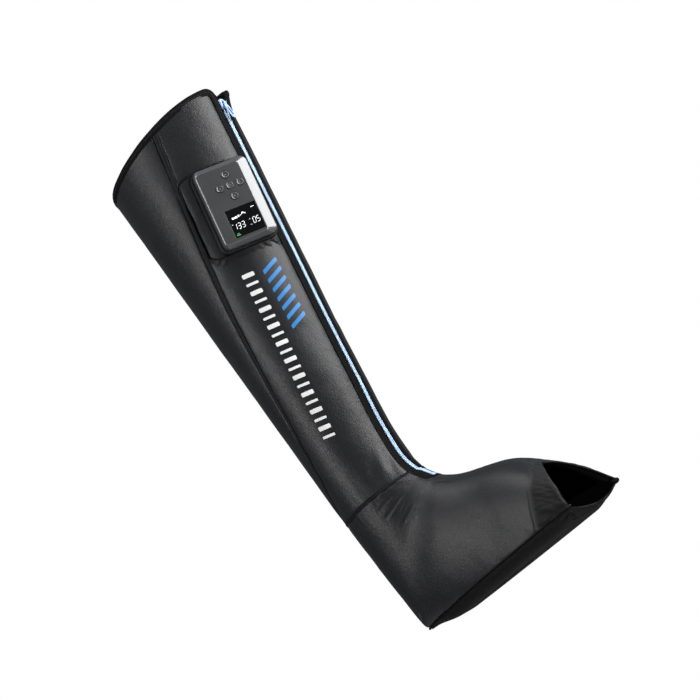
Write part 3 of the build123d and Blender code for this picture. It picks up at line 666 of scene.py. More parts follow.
M = {}
M["fabric"] = fabric("outer_fabric", (0.0060, 0.0062, 0.0074), (0.0135, 0.0140, 0.0162), rough=(0.36, 0.50), spec=0.40, sheen=0.02, bump=0.5, coarse=0.5)
# foot cloth: the outer fabric plus painted shade from a stored share on the gathered strip and the instep groove
M["foot"] = fabric("foot_fabric", (0.0060, 0.0062, 0.0074), (0.0135, 0.0140, 0.0162), rough=(0.36, 0.50), spec=0.40, sheen=0.02, bump=0.5, coarse=0.5, painted_shade="painted_shade")
# sole cloth darker than the upper: painted shade of the underside, which faces away from the lamps
M["sole"] = fabric("sole_fabric", (0.0034, 0.0034, 0.0037), (0.0070, 0.0070, 0.0076), rough=(0.52, 0.66), spec=0.14, sheen=0.0)
# pocket cloth darker than the outer fabric: painted shade of the recess round the control unit
M["pocket"] = fabric("pocket_fabric", (0.0045, 0.0046, 0.0053), (0.0100, 0.0104, 0.0117), rough=(0.42, 0.56), spec=0.24, sheen=0.02, bump=0.5)
# lining near-black: painted shade for the dim inside seen through the openings
M["lining"] = fabric("lining_fabric", (0.0010, 0.0010, 0.0012), (0.0028, 0.0028, 0.0032), rough=(0.7, 0.85), spec=0.02, sheen=0.0)
# footbed cloth blacker still: painted shade of the fold inside the toe opening
M["lining_shade_black"] = fabric("lining_shade_black", (0.0003, 0.0003, 0.0004), (0.0009, 0.0009, 0.0011), rough=(0.8, 0.9), spec=0.0, sheen=0.0)
M["binding"] = ribbed("binding_tape", (0.0022, 0.0022, 0.0027), (0.0065, 0.0065, 0.0076), rough=0.70, spec=0.07, sheen=0.0)
M["seamband"] = ribbed("seam_band_tape", (0.0036, 0.0036, 0.0043), (0.0092, 0.0095, 0.011), rough=0.60, spec=0.16, sheen=0.0)
M["thread"] = plastic("thread", (0.035, 0.036, 0.040), rough=0.55, spec=0.3, grain=4000, bump=0.2)
M["thread_dark"] = plastic("thread_dark", (0.018, 0.018, 0.020), rough=0.6, spec=0.25, grain=4000, bump=0.2)
# coil colour: light blue plastic, paled towards white as a painted highlight
M["coil"] = plastic("zipper_coil_blue", (0.56, 0.74, 0.98), rough=0.38, spec=0.5, grain=2500, bump=0.08, vary=0.08)
M["slider"] = plastic("zipper_metal_blue", (0.42, 0.60, 0.92), rough=0.30, spec=0.6, coat=0.3, grain=1500, bump=0.05, vary=0.10)
M["tape"] = ribbed("zipper_tape", (0.004, 0.004, 0.0055), (0.010, 0.010, 0.013), rib=2400.0, spec=0.10, sheen=0.0)
M["gloss"] = plastic("unit_gloss_shell", (0.075, 0.079, 0.083), rough=0.20, spec=0.6, coat=0.6, coat_rough=0.08, grain=2500, bump=0.03, vary=0.06)
M["face"] = plastic("unit_face", (0.031, 0.034, 0.035), rough=0.36, spec=0.45, coat=0.2, coat_rough=0.25, grain=3500, bump=0.04, vary=0.05)
M["backshell"] = plastic("unit_back_plastic", (0.018, 0.019, 0.020), rough=0.45, grain=1600, bump=0.12)
M["button"] = plastic("button_gloss", (0.040, 0.042, 0.044), rough=0.22, spec=0.6, coat=0.5, coat_rough=0.06, grain=2500, bump=0.02, vary=0.05)
M["icon"] = plastic("button_icon_print", (0.20, 0.205, 0.21), rough=0.45, grain=3000, bump=0.02)
M["glass"] = plastic("display_glass", (0.0035, 0.0035, 0.004), rough=0.07, spec=0.5, coat=0.3, coat_rough=0.03, grain=3000, bump=0.0, vary=0.02)
M["white_print"] = plastic("white_print", (0.80, 0.80, 0.79), rough=0.5, grain=1800, bump=0.10, vary=0.03)
M["blue_print"] = plastic("blue_print", (0.012, 0.19, 0.52), rough=0.45, grain=1800, bump=0.10, vary=0.06)


def emitter(name, col, s):
    m = Mat(name)
    n = m.noise(600.0, 2.0, 0.5)
    m.color(m.ramp(n, [(0.3, tuple(c * 0.9 for c in col)), (0.7, col)]))
    m.set(emit=col, emit_s=s, rough=0.4)
    return m.m


M["led_white"] = emitter("led_white", (0.92, 0.95, 1.0), 0.9)
M["led_green"] = emitter("led_green", (0.10, 0.40, 0.12), 0.35)

CAD_MATS = {
    "dock_cradle": plastic("dock_plastic", (0.022, 0.023, 0.025), rough=0.30, spec=0.5, coat=0.3, coat_rough=0.15, grain=1500, bump=0.06),
    "air_chamber": plastic("air_chamber_film", (0.05, 0.05, 0.055), rough=0.35, grain=900, bump=0.1),
    "hose": plastic("air_hose_tube", (0.03, 0.03, 0.03), rough=0.35, grain=900, bump=0.05),
    "keypad": plastic("keypad_silicone", (0.20, 0.20, 0.21), rough=0.55, grain=1500),
    "board": plastic("circuit_board", (0.010, 0.075, 0.030), rough=0.35, coat=0.3, grain=500, bump=0.05),
    "battery": plastic("battery_wrap", (0.05, 0.13, 0.28), rough=0.3, coat=0.4, grain=500, bump=0.05),
    "steel": plastic("motor_steel", (0.55, 0.55, 0.56), rough=0.3, metal=1.0, grain=2000, bump=0.08),
    "pump": plastic("pump_plastic", (0.35, 0.35, 0.35), rough=0.45, grain=1500),
    "port": plastic("port_metal", (0.60, 0.60, 0.61), rough=0.25, metal=1.0, grain=2500),
    "screw": plastic("screw_steel", (0.42, 0.42, 0.43), rough=0.3, metal=1.0, grain=2500),
    "brass": plastic("eccentric_brass", (0.65, 0.48, 0.20), rough=0.3, metal=1.0, grain=2500),
    "rotor": plastic("rotor_plastic", (0.62, 0.62, 0.58), rough=0.5, grain=1500),
}
for node, key in {
    "dock_cradle": "dock_cradle", "dock_connector": "dock_cradle",
    "thigh_air_chamber": "air_chamber", "knee_air_chamber": "air_chamber", "calf_air_chamber": "air_chamber",
    "foot_air_chamber_lateral": "air_chamber", "foot_air_chamber_medial": "air_chamber", "sole_air_chamber": "air_chamber",
    "thigh_hose": "hose", "knee_hose": "hose", "calf_hose": "hose", "foot_hose": "hose",
    "keypad_membrane": "keypad", "main_board": "board", "battery_pack": "battery", "pump_motor": "steel",
    "pump_head": "pump", "air_distributor": "pump", "charging_port": "port", "case_screws": "screw",
    "pump_eccentric": "brass", "distributor_rotor": "rotor",
}.items():
    NODES[node].data.materials.clear()
    NODES[node].data.materials.append(CAD_MATS[key])
for node, mat in {"unit_back_shell": M["backshell"], "display_window": M["glass"], "display_module": M["glass"]}.items():
    NODES[node].data.materials.clear()
    NODES[node].data.materials.append(mat)
for node in NODES.values():
    mod = node.modifiers.new("edge", "WEIGHTED_NORMAL")
    mod.keep_sharp = True

# ---------------------------------------------------------------------------
# control unit frame
# ---------------------------------------------------------------------------
_b, _l, _t = (math.radians(a) for a in (49.6, 9.3, 8.9))
N0 = np.array([math.sin(_b), -math.cos(_b), 0.0])
U0 = np.array([math.cos(_b), math.sin(_b), 0.0])
ZZ = np.array([0.0, 0.0, 1.0])
V1 = ZZ * math.cos(_l) + U0 * math.sin(_l)
UX = U0 * math.cos(_l) - ZZ * math.sin(_l)
UY = V1 * math.cos(_t) + N0 * math.sin(_t)
UN = N0 * math.cos(_t) - V1 * math.sin(_t)
UO = np.array([183.6 - XO, -59.0, 582.3]) - UN * 20.0


def unit_to_world(p):
    p = np.asarray(p, float)
    return UO + p[..., 0:1] * UX + p[..., 1:2] * UY + p[..., 2:3] * UN


def world_to_unit(p):
    q = np.asarray(p, float) - UO
    return np.stack([q @ UX, q @ UY, q @ UN], -1)


def rr_dist(x, y, hw, hh, r, cx=0.0, cy=0.0):
    """signed distance to a rounded rectangle, negative inside"""
    qx, qy = np.abs(x - cx) - (hw - r), np.abs(y - cy) - (hh - r)
    return np.hypot(np.maximum(qx, 0), np.maximum(qy, 0)) + np.minimum(np.maximum(qx, qy), 0) - r


# ---------------------------------------------------------------------------
# wall displacement: padding between the seams, puckers along them, creases
# ---------------------------------------------------------------------------
CREASES = []      # (w0, s0, w1, s1, depth, width) on the lateral side


def seg_dist(w, s, c):
    w0, s0, w1, s1 = c[:4]
    dw, ds = w1 - w0, s1 - s0
    L2 = dw * dw + ds * ds
    u = np.clip(((w - w0) * dw + (s - s0) * ds) / L2, 0, 1)
    return np.hypot(w - w0 - u * dw, s - s0 - u * ds), u


def pucker(along, dist, seed, amp=0.30, wave=9.0, reach=9.0):
    n = noise3(np.stack([along / wave, np.full_like(along, 3.7 * seed), dist / (reach * 2.2)], -1), seed)
    n = n + 0.5 * noise3(np.stack([along / (wave * 0.45), np.full_like(along, 1.3 * seed), dist / reach], -1), seed + 5)
    return amp * n * np.exp(-np.maximum(dist, 0) / reach)


def soft_relief(p, seed, amp=0.55, scale=(60.0, 60.0, 90.0)):
    q = p / np.array(scale)
    return amp * (noise3(q, seed) + 0.5 * noise3(q * 2.1 + 4.0, seed + 1) + 0.28 * noise3(q * 4.3 + 9.0, seed + 2))


def wall_disp(w, s, tau, region):
    """outward displacement (mm) of the outer fabric"""
    p = PT(w, tau, 0.0)
    lat = tau <= math.pi
    sgn = np.where(lat, 1.0, 2.0)
    out = soft_relief(p, 3 if region != "foot" else 8)
    if region == "leg":
        d0, d1 = s - S_B1, SEAM_S(w) - HB(w) - s
        dist = np.minimum(d0, d1)
        out = out + 0.9 * (1 - np.exp(-np.maximum(dist, 0) / 9.0)) - 0.55 * np.exp(-np.maximum(dist, 0) / 1.2)
        out = out + pucker(w + 400 * sgn, d1, 21, 0.34, 8.0, 8.0) + pucker(w + 300 * sgn, d0, 33, 0.22, 11.0, 8.0)
        dz = w - W_TAPE_
        out = out - 0.5 * np.exp(-np.maximum(dz, 0) / 1.5) + pucker(s + 200 * sgn, dz, 44, 0.8, 12.0, 16.0)
    elif region == "calf":
        d1 = np.abs(s) - HB(w)      # s measured from the seam here
        out = out + 0.9 * (1 - np.exp(-np.maximum(d1, 0) / 9.0)) - 0.55 * np.exp(-np.maximum(d1, 0) / 1.2)
        out = out + pucker(w + 400 * sgn, d1, 22, 0.34, 8.0, 8.0)
        dz = w - W_TAPE_
        out = out - 0.5 * np.exp(-np.maximum(dz, 0) / 1.5) + pucker(s + 200 * sgn, dz, 45, 0.8, 12.0, 14.0)
    else:
        dz = W_ANK - w
        out = out - 0.6 * np.exp(-np.maximum(dz, 0) / 2.0) + pucker(s + 200 * sgn, dz, 46, 0.9, 11.0, 20.0)
    if region in ("leg", "foot"):
        for c in CREASES:
            if c[6] != region:
                continue
            d, u = seg_dist(w, s, c)
            env = np.sin(math.pi * np.clip(u, 0.02, 0.98)) ** 0.6
            val = c[4] * env * (-gauss(d, c[5]) + 0.55 * gauss(d - 1.9 * c[5], c[5] * 1.1))
            out = out + np.where(lat if c[7] == 0 else ~lat, val, 0.0)
    return out


# tables of the seam's distance from the ridge, for quick use
_WQ2 = np.linspace(W_ANK - 2, W_TOP_MAX, 260)
_SS = seam_s(_WQ2)
_HL = half_len(_WQ2)


def SEAM_S(w):
    return np.interp(w, _WQ2, _SS)


def HALF(w):
    return np.interp(w, _WQ2, _HL)


def HB(w):
    return half_band_mm(w)


def flare(P, w, s, lat):
    """the far front corner of the rim opens outwards above the slider"""
    WT = W_FRONT_TOP
    k = smooth(w, WT - 56, WT + 4)
    b = (1 - smooth(s, 13, 38)) * np.where(lat, 0.0, 1.0)
    P = P.copy()
    P[..., 0] += 5.0 * b * k
    P[..., 1] += 6.0 * b * k
    P[..., 2] -= 11.0 * b * k ** 3
    return P + 0 * b[..., None]


W_FRONT_TOP = float(rim_w_at_tau(np.array([t_of_s(W_of_v(21.0), 18.6)]))[0])
W_SL = float(W_of_v(20.79))          # upper end of the slider, the coils part above it


def SH(w):
    """the zipper wanders a little to the outer side at the ankle"""
    return np.interp(v_of_W(w), [7.6, 10, 12, 13.3, 14.2, 15.2, 15.9, 16.8], [0, 1.5, 3.5, 5.0, 5.2, 2.6, 0.8, 0])


def WP(w, s, d=0.0, lat=True):
    """wall point from the distance s round the wall, on one side"""
    w, s, d = np.broadcast_arrays(np.asarray(w, float), np.asarray(s, float), np.asarray(d, float))
    t = t_of_s(w, s)
    tau = t if lat else 2 * math.pi - t
    return flare(PT(w, tau, d), w, s, np.full(w.shape, lat))


def uvgrid(g):
    """uv in metres of length along both directions of a grid"""
    du = np.concatenate([np.zeros((g.shape[0], 1)), np.cumsum(np.linalg.norm(np.diff(g, axis=1), axis=2), axis=1)], 1)
    du = du - du.mean(1, keepdims=True)
    dv = np.concatenate([np.zeros((1, g.shape[1])), np.cumsum(np.linalg.norm(np.diff(g, axis=0), axis=2), axis=0)], 0)
    return np.stack([du, dv], -1) * MM


def edge_normals(g, outward_hint):
    n = grid_normals(g)
    flip = (n * outward_hint).sum(-1).mean() < 0
    return -n if flip else n


def centre_line(w):
    R = rows(w)
    return np.stack([(R[..., 0] + R[..., 2]) / 2 - XO, 0 * R[..., 0], (R[..., 1] + R[..., 3]) / 2], -1)


def even_rows(G, rows, share):
    """smooth a grid along its first axis by a few rows; share (0..1) says where"""
    k = np.exp(-0.5 * (np.arange(-3 * rows, 3 * rows + 1) / rows) ** 2)
    k /= k.sum()
    a = 2 * G[:1] - G[1:3 * rows + 1][::-1]
    b = 2 * G[-1:] - G[-3 * rows - 1:-1][::-1]
    E = np.concatenate([a, G, b], 0)
    S = sum(k[i] * E[i:i + len(G)] for i in range(len(k)))
    return G + (S - G) * share[..., None]


def surface_grid(wg, taug, disp, thick, lat_mask=None, sflare=None, even=None):
    """outer and inner grids of a wall panel; disp is outward in mm, thick may be an array"""
    base = PT(wg, taug, 0.0)
    if even is not None:
        base = even_rows(base, even[0], even[1])
    if sflare is not None:
        base = flare(base, wg, sflare, taug <= math.pi)
    n = edge_normals(base, base - centre_line(wg))
    outer = base + n * disp[..., None]
    thick = np.broadcast_to(np.asarray(thick, float), disp.shape)
    inner = base - n * thick[..., None]
    return outer, inner, n


# creases seen at the ankle and instep, on the control unit's side and mirrored loosely on the other
for side_ in (0, 1):
    k_ = 1.0 if side_ == 0 else 0.7
    CREASES += [
        (W_ANK - 44, 47.0, W_ANK - 33, 84.0, 1.4 * k_, 3.2, "foot", side_),
        (W_ANK - 90, 55.0, W_ANK - 68, 80.0, 0.9 * k_, 3.6, "foot", side_),
        (W_ANK - 23, 52.0, W_ANK - 18, 82.0, 0.8 * k_, 2.6, "foot", side_),
        (W_ANK - 60, 44.0, W_ANK - 52, 70.0, 0.6 * k_, 2.8, "foot", side_),
        (W_TAPE_ + 4, 34.0, W_TAPE_ + 44, 20.0, 0.9 * k_, 6.0, "leg", side_),
        (W_TAPE_ + 3, 62.0, W_TAPE_ + 38, 44.0, 0.9 * k_, 6.5, "leg", side_),
        (W_TAPE_ + 150, 40.0, W_TAPE_ + 172, 96.0, 0.5 * k_, 9.0, "leg", side_),
        (W_TAPE_ + 222, 30.0, W_TAPE_ + 236, 84.0, 0.45 * k_, 8.0, "leg", side_),
    ]

# --- leg side panels -------------------------------------------------------------
NR, NC = 250, 60
UHW, UHH, URR = 39.9, 57.9, 11.6     # recess under the dock


def w_grid(w0, w1, n):
    """rows from w0 to w1 (arrays over columns)"""
    r = np.linspace(0, 1, n)[:, None]
    return w0 + (w1 - w0) * r


def rim_limit(tau):
    return rim_w_at_tau(tau)


def leg_panel(lat):
    q = np.linspace(0, 1, NC)
    # rim height for each column, by two passes since the seam's place changes with height
    w_top = np.full(NC, W_FRONT_TOP)
    for _ in range(4):
        s = (S_B1 - 1.0) + (SEAM_S(w_top) - HB(w_top) - 0.1 - (S_B1 - 1.0)) * q
        w_top = rim_w_at_tau(t_of_s(w_top, s)) - 1.6
    wg = w_grid(np.full(NC, W_TAPE_ - 0.2), w_top, NR)
    s0 = S_B1 - 1.0 + (SH(wg) if lat else -SH(wg))
    sg = s0 + (SEAM_S(wg) - HB(wg) - 0.1 - s0) * q[None, :]
    tg = t_of_s(wg, sg)
    taug = tg if lat else 2 * math.pi - tg
    disp = wall_disp(wg, sg, taug, "leg")
    disp = np.where(sg < s0 + 1.8, np.minimum(disp, -0.12), disp)
    outer, inner, n = surface_grid(wg, taug, disp, 1.5, sflare=sg)
    if lat:
        lo = world_to_unit(outer)
        dist = rr_dist(lo[..., 0], lo[..., 1], UHW, UHH, URR)
        inside = smooth(-dist, -0.3, 1.6)
        # the cloth is tucked under the dock; round it the depth is unchanged
        z_new = np.minimum(lo[..., 2], -7.75)
        lo2 = lo.copy()
        lo2[..., 2] = lo[..., 2] * (1 - inside) + z_new * inside
        near = gauss(np.maximum(dist, 0), 9.0) * (dist > 0)
        lo2[..., 2] -= 0.0 * near
        outer = unit_to_world(lo2)
        li = world_to_unit(inner)
        li[..., 2] = np.where(inside > 0.02, np.minimum(li[..., 2], lo2[..., 2] - 0.55), li[..., 2])
        inner = unit_to_world(li)
    name = "leg_lateral_panel_cloth" if lat else "leg_medial_panel_cloth"
    uv = np.stack([sg, wg], -1) * MM
    ob = shell(name, outer, inner, M["fabric"], uv=uv)
    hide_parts("leg_lateral_panel" if lat else "leg_medial_panel")
    return ob


leg_lat = leg_panel(True)
leg_med = leg_panel(False)


def calf_panel():
    """panel round the back, between the two side seams"""
    n = 111
    q = np.linspace(0, 1, n)
    w_top = np.full(n, W_FRONT_TOP)
    wq = w_top
    for _ in range(4):
        a = SEAM_S(wq) + HB(wq) + 0.1
        L = 2 * HALF(wq)
        s = a + (L - 2 * a) * q
        tau = tau_of_s(wq, s)
        wq = rim_w_at_tau(tau) - 1.6
    wg = w_grid(np.full(n, W_TAPE_ - 0.2), wq, NR)
    a = SEAM_S(wg) + HB(wg) + 0.1
    L = 2 * HALF(wg)
    sg = a + (L - 2 * a) * q[None, :]
    taug = tau_of_s(wg, sg)
    from_seam = np.minimum(sg - SEAM_S(wg), L - SEAM_S(wg) - sg)
    disp = wall_disp(wg, from_seam, taug, "calf")
    outer, inner, _n = surface_grid(wg, taug, disp, 1.5)
    ob = shell("calf_back_panel_cloth", outer, inner, M["fabric"], uv=np.stack([sg, wg], -1) * MM)
    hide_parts("calf_back_panel")
    return ob


calf = calf_panel()


def profile_strip(name, wv, centre_s, profile, material, lat=True, repl=None, jitter=None, uvx=1.0):
    """strip swept along the wall: profile is a closed list of (ds, out) per row, out = outward mm"""
    rings, uvs = [], []
    wv = np.asarray(wv, float)
    for i, w in enumerate(wv):
        pr = np.asarray(profile(w), float)
        s = centre_s(w) + pr[:, 0]
        o = pr[:, 1] + (0 if jitter is None else jitter[i])
        rings.append(WP(np.full(len(s), w), s, -o, lat))
        uvs.append(np.stack([s * MM, np.full(len(s), w * MM)], -1))
    ob = loft(name, np.array(rings), material, uv=np.array(uvs))
    if repl:
        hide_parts(*repl)
    return ob


def seam_band(lat):
    st = np.array([float(t_of_s(W_FRONT_TOP, SEAM_S(W_FRONT_TOP)))])
    top = float(rim_w_at_tau(st if lat else 2 * math.pi - st)[0]) - 1.6
    wv = np.linspace(W_TAPE_ - 0.2, top, 230)

    def prof(w):
        h = float(HB(w))
        return [(-h - 0.25, -0.55), (-h - 0.1, 0.18), (-h * 0.8, 0.52), (-h * 0.62, 0.34), (-h * 0.4, 0.62), (0, 0.72),
                (h * 0.4, 0.62), (h * 0.62, 0.34), (h * 0.8, 0.52), (h + 0.1, 0.18), (h + 0.25, -0.55), (h * 0.5, -1.3), (-h * 0.5, -1.3)]
    jit = 0.10 * noise3(np.stack([wv / 9.0, wv * 0, wv * 0], -1), 61)
    nm = "side_seam_band_lateral" if lat else "side_seam_band_medial"
    ob = profile_strip(nm + "_tape", wv, lambda w: float(SEAM_S(w)), prof, M["seamband"], lat, [nm], jit)
    return ob, top


band_lat, band_lat_top = seam_band(True)
band_med, band_med_top = seam_band(False)


def wall_line(wv, sv, out, lat=True):
    """polyline on the wall and its outward normals"""
    wv, sv = np.asarray(wv, float), np.asarray(sv, float)
    p = WP(wv, sv, -np.asarray(out, float), lat)
    q = WP(wv, sv, -(np.asarray(out, float) + 1.0), lat)
    return p, (q - p)


lines = []
for lat, top in ((True, band_lat_top), (False, band_med_top)):
    wv = np.linspace(W_TAPE_ + 3, top - 8, 320)
    for sg_ in (-1, 1):
        lines.append(wall_line(wv, SEAM_S(wv) + sg_ * (HB(wv) * 0.62), np.full(len(wv), 0.34), lat))
ob = stitches("side_seam_stitches", lines, M["thread"], pitch=3.4, length=2.5, rad=0.27, lift=0.05)
lines = []
for lat, top in ((True, band_lat_top), (False, band_med_top)):
    wv = np.linspace(W_TAPE_ + 3, top - 8, 320)
    for sg_ in (-1, 1):
        sv = SEAM_S(wv) + sg_ * (HB(wv) + 2.6)
        t = t_of_s(wv, sv)
        dsp = wall_disp(wv, sv if sg_ < 0 else sv - SEAM_S(wv), t if lat else 2 * math.pi - t, "leg" if sg_ < 0 else "calf")
        lines.append(wall_line(wv, sv, dsp, lat))
ob = stitches("side_panel_topstitches", lines, M["thread"], pitch=3.4, length=2.5, rad=0.24, lift=0.02)

# --- ankle seam tape ----------------------------------------------------------------


def ankle_tape():
    n = 171
    s_end = S_B1 - 1.0
    wm = (W_ANK + W_TAPE_) / 2
    L = 2 * float(half_len(np.array([wm]))[0])
    sv = np.linspace(s_end, L - s_end, n)
    tau = tau_of_s(np.full(n, wm), sv)
    prof = [(-2.6, -0.9), (-2.5, 0.0), (-1.9, 0.55), (-0.9, 0.85), (0.3, 1.0), (1.3, 0.9), (1.9, 0.45), (2.0, -0.9), (0.6, -1.4), (-1.2, -1.4)]
    jit = 0.22 * noise3(np.stack([sv / 11.0, sv * 0, sv * 0], -1), 71)
    rings = []
    for k, (dw, o) in enumerate(prof):
        wob = 0.5 * noise3(np.stack([sv / 16.0, sv * 0 + 2.0, sv * 0], -1), 72)
        rings.append(PT(wm + dw + wob, tau, -(o + jit * (1 if o > 0 else 0))))
    rings = np.array(rings).transpose(1, 0, 2)
    uv = np.stack([np.repeat(sv[:, None], len(prof), 1), np.repeat(np.array([p[0] for p in prof])[None, :], n, 0)], -1) * MM
    ob = loft("ankle_seam_tape_cloth", rings, M["seamband"], uv=uv)
    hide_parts("ankle_seam_tape")
    up_w = np.full(n, wm)
    p = PT(up_w + 5.6, tau, -0.35)
    q = PT(up_w + 5.6, tau, -1.35)
    p2 = PT(up_w - 5.4, tau, -0.2)
    q2 = PT(up_w - 5.4, tau, -1.2)
    stitches("ankle_seam_stitches", [(p[3:-3], (q - p)[3:-3]), (p2[3:-3], (q2 - p2)[3:-3])], M["thread"], pitch=3.2, length=2.4, rad=0.26, lift=0.0)


ankle_tape()

# --- foot panels --------------------------------------------------------------------


def EXT(f, lat):
    """the near side of the mouth runs straight from its top to the sole, in front of the curved station"""
    e = np.interp(f, [0, 0.1, 0.2, 0.3, 0.4, 0.5, 0.6, 0.7, 0.8, 0.9, 1.0], [0.3, 4.6, 8.8, 11.3, 12.4, 12.3, 11.2, 9.5, 7.0, 4.0, 0.6])
    return e if lat else 0.0 * e


def foot_panel(lat):
    """side of the foot: up to the instep ridge in front of the zipper, to the zipper's binding behind it"""
    NRF, NCF = 190, 110
    w0, w1 = float(W_of_v(-0.06)) + 1.5, W_ANK + 0.4
    r = np.linspace(0, 1, NRF)
    wv = w0 + (w1 - w0) * r
    edge = 0.25 + (S_B1 - 1.0 + (SH(wv) if lat else -SH(wv)) - 0.25) * smooth(wv, W_ZIP - 2.0, W_ZIP + 12.0) ** 0.6
    hl = half_len(wv)
    q = np.linspace(0, 1, NCF)
    sg = edge[:, None] + (hl - edge)[:, None] * q[None, :]
    wg = np.repeat(wv[:, None], NCF, 1)
    toe = wg - w0
    wg = wg - EXT(q[None, :] + 0 * wg, lat) * (1 - smooth(toe, 0.0, 42.0))
    sg = edge[:, None] + (half_len(wg) - edge[:, None]) * q[None, :]
    tg = t_of_s(wg, sg)
    tg[:, -1] = math.pi if lat else math.pi - 1e-6      # exactly half way round is the near side's corner
    taug = tg if lat else 2 * math.pi - tg
    disp = wall_disp(wg, sg, taug, "foot")
    from_sole = hl[:, None] - sg
    sole_zone = 1 - smooth(wg, W_ZIP - 30, W_ZIP + 5)      # heel stations have no sole seam at the back
    disp = disp + (0.9 * (1 - np.exp(-from_sole / 10.0)) - 0.5 * np.exp(-from_sole / 1.6)) * sole_zone
    disp = disp + pucker(wg + (0 if lat else 500), from_sole, 51, 0.35, 9.0, 9.0) * sole_zone
    inst = np.clip(sg - edge[:, None], 0, 99)
    seam_in = 0.9 * (1 - np.exp(-inst / 7.0)) - 0.75 * np.exp(-inst / 1.2)
    disp = disp + seam_in + pucker(wg + (900 if lat else 1400), inst, 52, 0.30, 8.0, 7.0)
    # gathered strip behind the mouth: pleats run back from the edge, deepest towards the sole
    ff = np.clip(sg / np.maximum(hl[:, None], 1), 0, 1)
    wide = 8.0 + 44.0 * np.clip(ff, 0, 1) ** 1.5         # the strip is narrow at the top and wide at the sole
    wide = wide + 1.6 * noise3(np.stack([sg / 22.0, 0 * sg, 0 * sg], -1), 155)
    strip_ = (1 - smooth(toe / wide, 0.72, 1.02)) * smooth(toe, 0.5, 5.0)
    # painted shade over the gathered strip, stored as a share that darkens the foot cloth
    shade_paint_share = 0.80 * (1 - smooth(toe / wide, 0.80, 1.04))
    deep = 0.45 + 0.9 * smooth(ff, 0.45, 0.95)
    q3 = np.stack([(sg + 0.55 * toe) / 7.5, toe / 26.0, 0 * sg + (0 if lat else 40.0)], -1)
    q4 = np.stack([(sg - 0.35 * toe) / 4.1, toe / 15.0, 0 * sg + (3.0 if lat else 44.0)], -1)
    n3 = noise3(q3, 153)
    folds = (0.6 - np.abs(n3) * 1.9) + 0.45 * noise3(q4, 154)
    disp = disp + 1.25 * strip_ * deep * folds
    disp = disp - 1.1 * gauss(toe - wide, 1.6) * (0.5 + 0.5 * deep) - 0.9 * strip_ * deep
    disp = disp + pucker(sg + (0 if lat else 300), toe, 53, 0.5, 13.0, 15.0) - 0.5 * np.exp(-toe / 1.5)
    back = (from_sole / np.maximum(hl[:, None], 1)) * 0 + from_sole
    disp = np.where((1 - sole_zone) > 0.5, disp * smooth(back, -1.0, 9.0), disp)   # both sides meet at the heel line
    # seam along the instep, a finger's width from the ridge
    g_in = 9.0 + 6.0 * smooth(wg, 120.0, 200.0)
    on_in = 1 - smooth(wg, W_ZIP - 16, W_ZIP - 2)
    disp = disp + on_in * (0.35 * gauss(inst - g_in + 3.2, 1.8) - 0.75 * gauss(inst - g_in, 1.0))
    # painted shade in the groove of the instep seam, added to the same stored share
    shade_paint_share = np.clip(shade_paint_share + 0.55 * on_in * gauss(inst - g_in, 1.2), 0, 1)
    disp = np.where(inst < 1.0, np.minimum(disp, -0.1), disp)
    share = smooth(toe, 3.0, 40.0) * smooth(w1 - wv[:, None] + 0 * wg, 2.0, 26.0) * smooth(inst, 2.0, 22.0) * smooth(from_sole, 4.0, 30.0)
    outer, inner, n = surface_grid(wg, taug, disp, 1.5, even=(8, share))
    heel = wg[:, -1] > W_ZIP
    # at the heel line both sides end on the middle plane
    for g in (outer, inner):
        g[heel, -1, 1] = np.where(True, (-0.02 if lat else 0.02), g[heel, -1, 1])
        if lat:
            g[..., 1] = np.minimum(g[..., 1], -0.02)
        else:
            g[..., 1] = np.maximum(g[..., 1], 0.02)
    nm = "foot_lateral_panel" if lat else "foot_medial_panel"
    ob = shell(nm + "_cloth", outer, inner, M["foot"], uv=np.stack([sg, wg], -1) * MM)
    # stored share of painted shade, read by the foot cloth's material
    at = ob.data.attributes.new("painted_shade", "FLOAT", "POINT")
    at.data.foreach_set("value", np.concatenate([shade_paint_share.ravel(), shade_paint_share.ravel()]).astype(np.float32))
    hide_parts(nm)
    pts, nrm = [], []
    for i in range(3, NRF):
        if wv[i] > W_ZIP - 14:
            break
        at_ = float(edge[i]) + float(g_in[i, 0]) - 1.9
        pts.append([np.interp(at_, sg[i], outer[i, :, c]) for c in range(3)])
        nrm.append([np.interp(at_, sg[i], n[i, :, c]) for c in range(3)])
    INSTEP_LINES.append((np.array(pts), np.array(nrm)))
    return ob


INSTEP_LINES = []
foot_lat = foot_panel(True)
foot_med = foot_panel(False)

# [a]
# --- signed wall coordinates: s > 0 on the control unit's side, s < 0 on the other ----


def WS(w, s, d=0.0):
    w, s, d = np.broadcast_arrays(np.asarray(w, float), np.asarray(s, float), np.asarray(d, float))
    t = t_of_s(w, np.abs(s))
    lat = s >= 0
    return flare(PT(w, np.where(lat, t, 2 * math.pi - t), d), w, np.abs(s), lat)


def strip(name, wv, prof, material, centre=lambda w: 0.0, side=1, repl=None, jit=None, body="boot", cap=True):
    """closed strip along the wall; prof(w) is a closed list of (s, out), s measured from centre on one side"""
    rings, uvs = [], []
    wv = np.asarray(wv, float)
    for i, w in enumerate(wv):
        pr = np.asarray(prof(w), float)
        s = centre(w) + side * pr[:, 0]
        o = pr[:, 1] + (0.0 if jit is None else jit[i] * (pr[:, 1] > 0))
        rings.append(WS(np.full(len(s), w), s, -o))
        uvs.append(np.stack([pr[:, 0] * MM, np.full(len(s), w * MM)], -1))
    ob = loft(name, np.array(rings), material, body, uv=np.array(uvs), cap=cap)
    if repl:
        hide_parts(*repl)
    return ob


WF = W_FRONT_TOP
R_C = 14.0                      # rounded front corner of the rim, nearer side
R_C2 = 6.0                      # and the far one
SIDES = ((1, "lateral"), (-1, "medial"))

